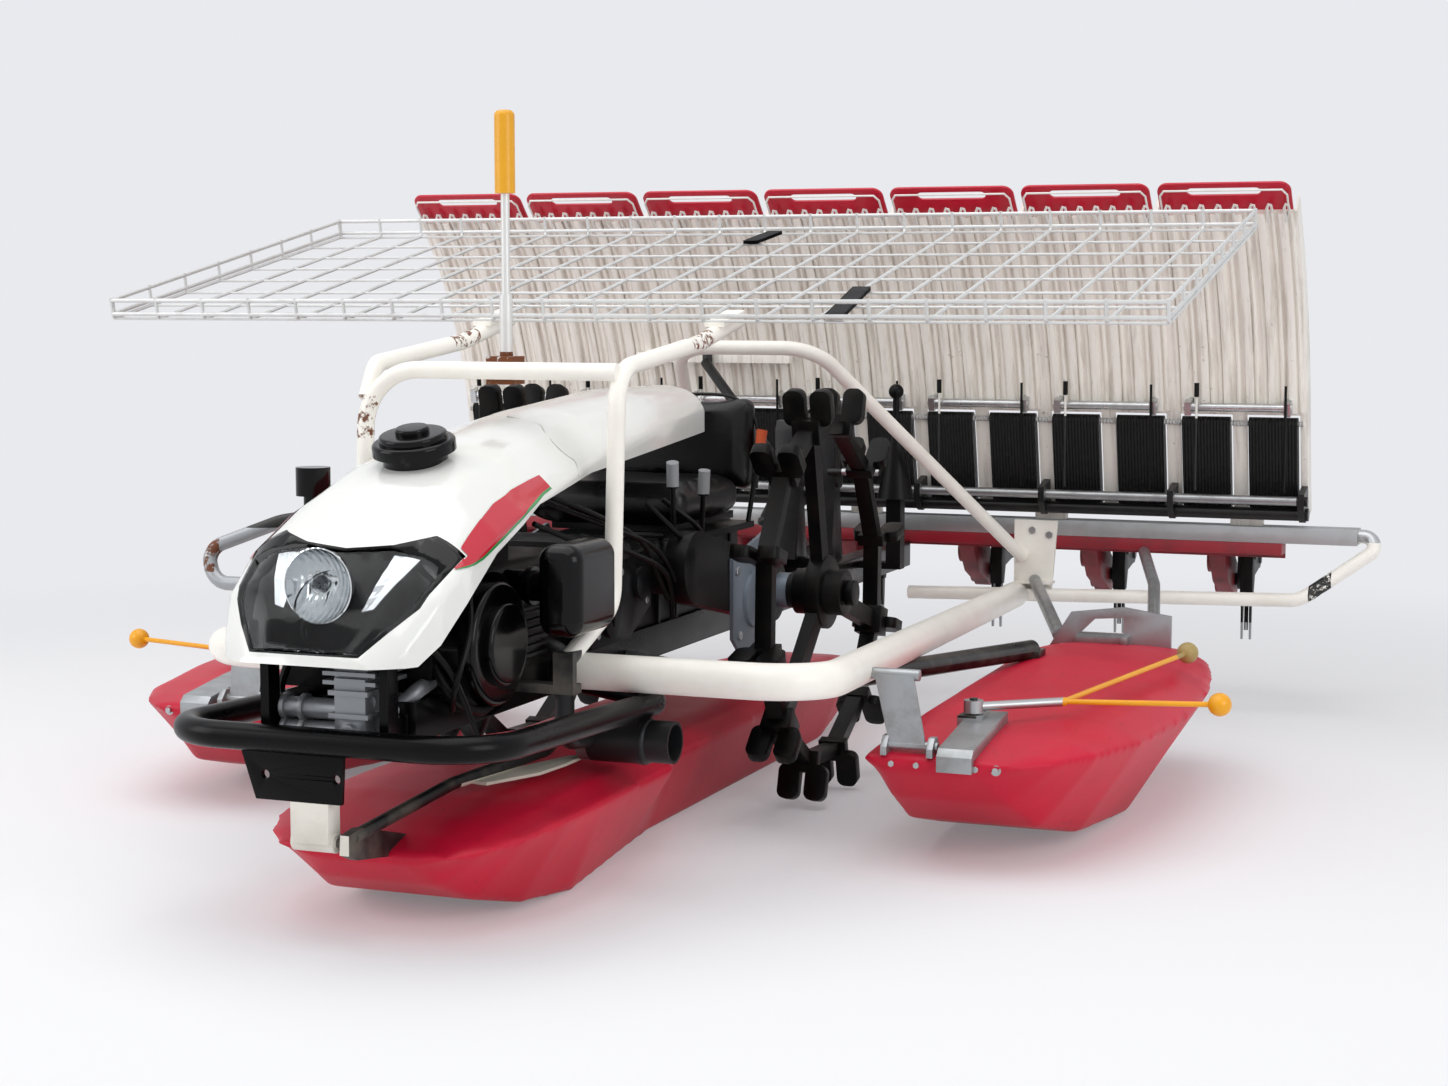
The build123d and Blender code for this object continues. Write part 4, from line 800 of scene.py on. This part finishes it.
# -------------------- floats
# Blow-moulded floats of red polyethylene: slightly waxy, soft at every edge, and scuffed along
# their length by the mud. Galvanised plates and pipes hang them from the frame.
float_red, tree = new_material("red_blow_moulded_polyethylene")
float_place = add_node(tree, "TexCoord").outputs["Object"]
fade = add_node(tree, "TexNoise", Vector=float_place, Scale=3.5, Detail=5.0, Roughness=0.6)
faded = add_node(tree, "ValToRGB", Fac=fade)
for stop, position, colour in zip(faded.color_ramp.elements, (0.32, 0.72), ("#b8102f", "#d01437")):
    stop.position, stop.color = position, linear(colour)
# Scuffs 8 mm apart across the float, drawn out eight times along it
stretch = add_node(tree, "Mapping", Vector=float_place, Scale=(1.0, 0.12, 1.0))
scratches = add_node(tree, "TexNoise", Vector=stretch, Scale=120.0, Detail=3.0)
scuff = add_node(tree, "MapRange", Value=scratches, From_Min=0.66, From_Max=0.74, To_Max=0.4)
worn_red = add_node(tree, "Mix", data_type="RGBA", Factor=scuff, in_6=faded, in_7=linear("#8d1a2a"))
float_grain = add_node(tree, "TexNoise", Vector=float_place, Scale=260.0, Detail=2.0)
float_waves = add_node(tree, "TexNoise", Vector=float_place, Scale=14.0, Detail=1.0)
float_height = add_node(tree, "Math", operation="MULTIPLY_ADD", in_0=float_waves,
                        in_1=6.0, in_2=float_grain)
float_relief = add_node(tree, "Bump", Height=float_height, Strength=0.3, Distance=0.0006)
skin = add_node(tree, "BsdfPrincipled", Base_Color=worn_red.outputs[2], Roughness=0.42,
                Specular_IOR_Level=0.3, Normal=float_relief, Subsurface_Weight=0.04,
                Subsurface_Scale=0.01)
add_node(tree, "OutputMaterial", Surface=skin)
FLOAT_VOXEL, EDGE_EASING, EASING_ROUNDS = 0.006, 0.5, 9
for name in ("centre_float", "side_float_left", "side_float_right"):
    dress(name, float_red, smooth=180)
    piece = nodes[name]
    piece.modifiers.remove(piece.modifiers["split"])
    blown = piece.modifiers.new("blown", "REMESH")
    blown.mode = "VOXEL"
    blown.voxel_size = FLOAT_VOXEL
    blown.use_smooth_shade = True
    eased = piece.modifiers.new("eased", "SMOOTH")
    eased.factor = EDGE_EASING
    eased.iterations = EASING_ROUNDS

# Dull zinc; the pipe that ties each side float to the frame is black
hanger_steel = finish("galvanised_hangers", "#a4a7a9", "#6a655b", 0.34, 0.45, metallic=0.8, patch=26,
                      grain=360, relief=0.12, zones=[
    ((-0.60, -0.39, 0.2), (0.60, 0.3, 0.30), "#0b0b0c", 0.2, 0.25, 1)])
for name in ("float_hangers", "marker_brackets"):
    dress(name, hanger_steel, edge=0.0008)
link_paint = finish("white_and_black_float_link", "#e6e2d8", "#9d9484", 0.34, 0.4, zones=[
    ((0.02, -1.1, 0.09), (0.2, -0.5, 0.3), "#111112", 0.0, 0.42, 1),
    ((0.05, -0.83, 0.1585), (0.2, -0.55, 0.1655), "#d8d2c4", 0.0, 0.45, 1)])
dress("float_link", link_paint, edge=0.0008)
float_bolts = [(from_axle(side * x, y, z), up) for side in (-1, 1) for x, y, z in (
    (0.5, -0.404, 0.171), (0.56, -0.409, 0.171), (0.62, -0.409, 0.172), (0.596, -0.279, 0.2035))]
rim_bolts = [(from_axle(side * x, -0.4395, 0.153), front) for side in (-1, 1)
             for x in (0.514, 0.55, 0.601, 0.634, 0.662)]
FLOAT_BOLT, RIM_BOLT = 0.012, 0.008  # across the flats
hexagon_bolts("float_bolts", float_bolts, FLOAT_BOLT, zinc, "machine")
hexagon_bolts("float_rim_bolts", rim_bolts, RIM_BOLT, zinc, "machine")


# -------------------- planting section
# Red-painted beam under a galvanised slide rail; cast cases with red paint left between grease
# and mud, black cranks and arms with bright claws.
beam_red = finish("red_paint_on_steel_beam", "#8f1526", "#2b211c", 0.36, 0.6, patch=12)
dress("planting_beam", beam_red, edge=0.0008)
rail_steel = finish("galvanised_channel", "#b3b5b6", "#77736a", 0.32, 0.4, metallic=0.8, patch=12, grain=300)
dress("slide_rail", rail_steel, edge=0.0006)
case_red = finish("red_painted_castings_with_grease", "#7f1422", "#16120f", 0.4, 0.85, patch=16,
                  grain=240, relief=0.2)
dress("planting_cases", case_red, edge=0.0012)
crank_steel = finish("greased_forged_steel", "#2c2d2e", "#15120f", 0.34, 0.55, metallic=0.5, patch=22)
dress("planting_cranks", crank_steel, edge=0.0008)
arm_black = finish("black_planting_arms_with_claws", "#060606", "#2c2620", 0.34, 0.3, patch=22,
                   specular=0.14, zones=[
    ((-0.9, 1.0, 0.1), (0.9, 1.4, 0.16), "#a3a5a6", 0.9, 0.3, 1)])
dress("planting_arms", arm_black, edge=0.0008)


# -------------------- seedling table
# Tray of off-white moulded plastic with ribs that guide the mats, with darker streaks and soil;
# moulded rubber feed belts show in its windows, with plated idler rods above them.
# Moulded plastic with darker streaks 10 mm apart running down it, and mud splashes of 18 mm
# that lie thicker towards its foot
STREAKS, SPLASHES = 95.0, 55.0
tray_plastic, tree = new_material("off_white_tray_plastic")
tray_place = add_node(tree, "TexCoord").outputs["Object"]
drawn = add_node(tree, "Mapping", Vector=tray_place, Scale=(1.0, 0.08, 0.08))
streaks = add_node(tree, "TexNoise", Vector=drawn, Scale=STREAKS, Detail=4.0, Roughness=0.6)
streaked = add_node(tree, "MapRange", Value=streaks, From_Min=0.5, From_Max=0.72, To_Max=0.55)
clean = add_node(tree, "Mix", data_type="RGBA", Factor=streaked,
                 in_6=linear("#f6f2ea"), in_7=linear("#b3aa9c"))
splash = add_node(tree, "TexNoise", Vector=tray_place, Scale=SPLASHES, Detail=6.0, Roughness=0.75)
splashed = add_node(tree, "MapRange", Value=splash, From_Min=0.64, From_Max=0.70, To_Max=0.75)
tray_height = add_node(tree, "SeparateXYZ", Vector=tray_place)
lower = add_node(tree, "MapRange", Value=tray_height.outputs[2], From_Min=0.95, From_Max=0.45,
                 To_Min=0.25, To_Max=1.0)
soil = add_node(tree, "Math", operation="MULTIPLY", in_0=splashed, in_1=lower)
soiled_tray = add_node(tree, "Mix", data_type="RGBA", Factor=soil,
                       in_6=clean.outputs[2], in_7=linear("#3e3226"))
tray_relief = add_node(tree, "Bump", Height=streaks, Strength=0.3, Distance=0.001)
skin = add_node(tree, "BsdfPrincipled", Base_Color=soiled_tray.outputs[2], Roughness=0.42,
                Normal=tray_relief)
add_node(tree, "OutputMaterial", Surface=skin)
dress("seed_tray", tray_plastic, edge=0.0012)

# Two belts to each row of the table. Their ribs run upwards, 6 mm apart, with studs of 9 mm
ROWS, ROW_PITCH = 7, 0.25
HALF_BELT_PITCH, HALF_BELT_GAP = ROW_PITCH / 4, 0.0172
BELT_RIBS, BELT_STUDS = 52.0, 110.0  # a wave repeats every 0.314 / scale metres
belt_rubber, tree = new_material("ribbed_black_belt_rubber")
belt_place = add_node(tree, "TexCoord").outputs["Object"]
belt_ribs = add_node(tree, "TexWave", Vector=belt_place, bands_direction="X", Scale=BELT_RIBS)
studs = add_node(tree, "TexVoronoi", Vector=belt_place, Scale=BELT_STUDS)
belt_height = add_node(tree, "Math", operation="MULTIPLY_ADD", in_0=studs, in_1=0.6,
                       in_2=belt_ribs.outputs[1])
belt_relief = add_node(tree, "Bump", Height=belt_height, Strength=0.8, Distance=0.003)
dust = add_node(tree, "Mix", data_type="RGBA", Factor=belt_ribs.outputs[1],
                in_6=linear("#030303"), in_7=linear("#0d0d0c"))
# The rollers between the belts are bare plated steel
belt_sides = add_node(tree, "SeparateXYZ", Vector=belt_place)
from_edge = add_node(tree, "Math", operation="ADD", in_0=belt_sides, in_1=ROWS * ROW_PITCH / 2)
from_gap = add_node(tree, "Math", operation="PINGPONG", in_0=from_edge, in_1=HALF_BELT_PITCH)
on_belt = add_node(tree, "Math", operation="GREATER_THAN", in_0=from_gap, in_1=HALF_BELT_GAP)
belt_colour = add_node(tree, "Mix", data_type="RGBA", Factor=on_belt,
                       in_6=linear("#c9cac8"), in_7=dust.outputs[2])
skin = add_node(tree, "BsdfPrincipled", Base_Color=belt_colour.outputs[2], Roughness=0.5,
                Specular_IOR_Level=0.3, Normal=belt_relief)
add_node(tree, "OutputMaterial", Surface=skin)
dress("feed_belts", belt_rubber)
# The rods are plated bright, and the shafts are dark and bare on one stretch. The covers are
# moulded: glossy red, hardly soiled
idler_steel = finish("plated_idler_rods", "#c4c6c7", "#6e6a62", 0.24, 0.4, metallic=0.9, patch=40, grain=500)
dress("belt_idlers", idler_steel)
shaft_steel = finish("dark_shafts_with_black_caps", "#0e0e0f", "#2d2a25", 0.32, 0.3, metallic=0.3,
                     patch=30, zones=[
    ((-0.86, 0.975, 0.4), (0.86, 0.9885, 0.425), "#9fa1a2", 0.9, 0.3, 1)])
dress("feed_shafts", shaft_steel)
cover_red = finish("red_moulded_covers", "#bf0c2c", "#7c1020", 0.3, 0.2, coat=0.15)
dress("mat_covers", cover_red, edge=0.0012)

# The table's curve, as the solid has it: middle, radius, and lean at the foot and the head
CURVE_MIDDLE, CURVE_RADIUS, FOOT_LEAN, HEAD_LEAN = (0.2534, 0.4068), 0.760, 13, 45


def on_curve(x, lean, proud):
    """A point on the table's front skin: across, at a lean in degrees, and proud of it."""
    reach = CURVE_RADIUS - proud
    return from_axle(x, CURVE_MIDDLE[0] + reach * cos(radians(lean)),
                     CURVE_MIDDLE[1] + reach * sin(radians(lean)))


row_middles = [(row - ROWS // 2) * ROW_PITCH for row in range(ROWS)]
RIB_OFFSETS = (-0.114, -0.081, -0.05, -0.034, 0.0, 0.034, 0.05, 0.081, 0.114)
RIB_D, RIB_PROUD, RIB_STEPS = 0.0085, 0.001, 16
leans = [FOOT_LEAN + i * (HEAD_LEAN - FOOT_LEAN) / RIB_STEPS for i in range(RIB_STEPS + 1)]
ribs = [[on_curve(x + offset, lean, RIB_PROUD) for lean in leans]
        for x in row_middles for offset in RIB_OFFSETS]
wires("tray_ribs", ribs, RIB_D, tray_plastic, "seedling_table", 8)
ROD_X, SENSOR_X = -0.074, 0.09  # from the middle of the row
rods, caps, thin_rods = [], [], []
for x in row_middles:
    rods.append([from_axle(x + ROD_X, 0.955, 0.43), from_axle(x + ROD_X, 0.951, 0.612)])
    caps.append([from_axle(x + ROD_X, 0.951, 0.606), from_axle(x + ROD_X, 0.950, 0.632)])
    thin_rods.append([from_axle(x + SENSOR_X, 0.955, 0.43), from_axle(x + SENSOR_X, 0.951, 0.628)])
# Black paint, with a white band below the cap
rod_paint = finish("black_rod_white_above", "#060606", "#26231f", 0.35, 0.2, zones=[
    ((-0.9, 0.93, 0.566), (0.9, 0.97, 0.62), "#e8e6e0", 0.0, 0.3, 1)])
ROD_D, CAP_D, SENSOR_D = 0.0045, 0.0095, 0.005
wires("mat_rods", rods, ROD_D, rod_paint, "seedling_table")
wires("mat_rod_caps", caps, CAP_D, rubber, "seedling_table")
wires("mat_sensor_rods", thin_rods, SENSOR_D, rubber, "seedling_table")

cover_low, cover_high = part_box("mat_covers")
head_lean = radians(HEAD_LEAN)


def on_head(x, along, proud):
    """A point by the table's head: across, up along the covers, and proud of them."""
    foot = Vector((0, cover_high.y, cover_low.z))
    return Vector((x, foot.y - 0.004 - along * sin(head_lean) - proud * cos(head_lean),
                   foot.z + 0.001 + along * cos(head_lean) - proud * sin(head_lean)))


# Each corner point is across, up along the cover, and proud of it
LOOP = [(0.1, -0.02, 0.004), (0.112, 0.02, 0.009), (0.112, 0.062, 0.009), (0.104, 0.074, 0.009)]
HOOK = [(0.0, 0.0, 0.012), (0.0, 0.034, 0.014), (0.003, 0.042, 0.012), (0.007, 0.038, 0.010),
        (0.008, 0.022, 0.011)]
HOOKS, FIRST_HOOK, HOOK_PITCH, LOOP_D, HOOK_D = 8, -0.105, 0.03, 0.004, 0.0055
loops, hooks = [], []
for x in row_middles:
    loops.append([on_head(x - out, along, proud) for out, along, proud in LOOP]
                 + [on_head(x + out, along, proud) for out, along, proud in reversed(LOOP)])
    for i in range(HOOKS):
        hooks.append([on_head(x + FIRST_HOOK + i * HOOK_PITCH + out, along, proud)
                      for out, along, proud in HOOK])
# Wire dipped in white plastic: smooth, with a soft sheen
wire_white = finish("white_dipped_wire", "#e6e5e1", "#a39c8d", 0.35, 0.3)
wires("mat_loops", loops, LOOP_D, wire_white, "seedling_table")
wires("mat_hooks", hooks, HOOK_D, wire_white, "seedling_table", 6)


# -------------------- side markers
# Each marker swings on a pivot on its side float: a bright plated sleeve, two rods of yellow
# plastic, and a ball at each tip, of which the rear one has browned.
marker_plastic = finish("yellow_marker_plastic", "#efa60c", "#b97a12", 0.28, 0.2, zones=[
    *both_sides((0.76, 0.18, 0.2), (0.84, 0.27, 0.26), "#a8935a", 0.0, 0.35, 1),
    *both_sides((0.56, -0.33, 0.18), (0.701, -0.2, 0.24), "#b5b7b8", 0.9, 0.32, 1)])
for name in ("marker_left", "marker_right"):
    dress(name, marker_plastic, smooth=40)
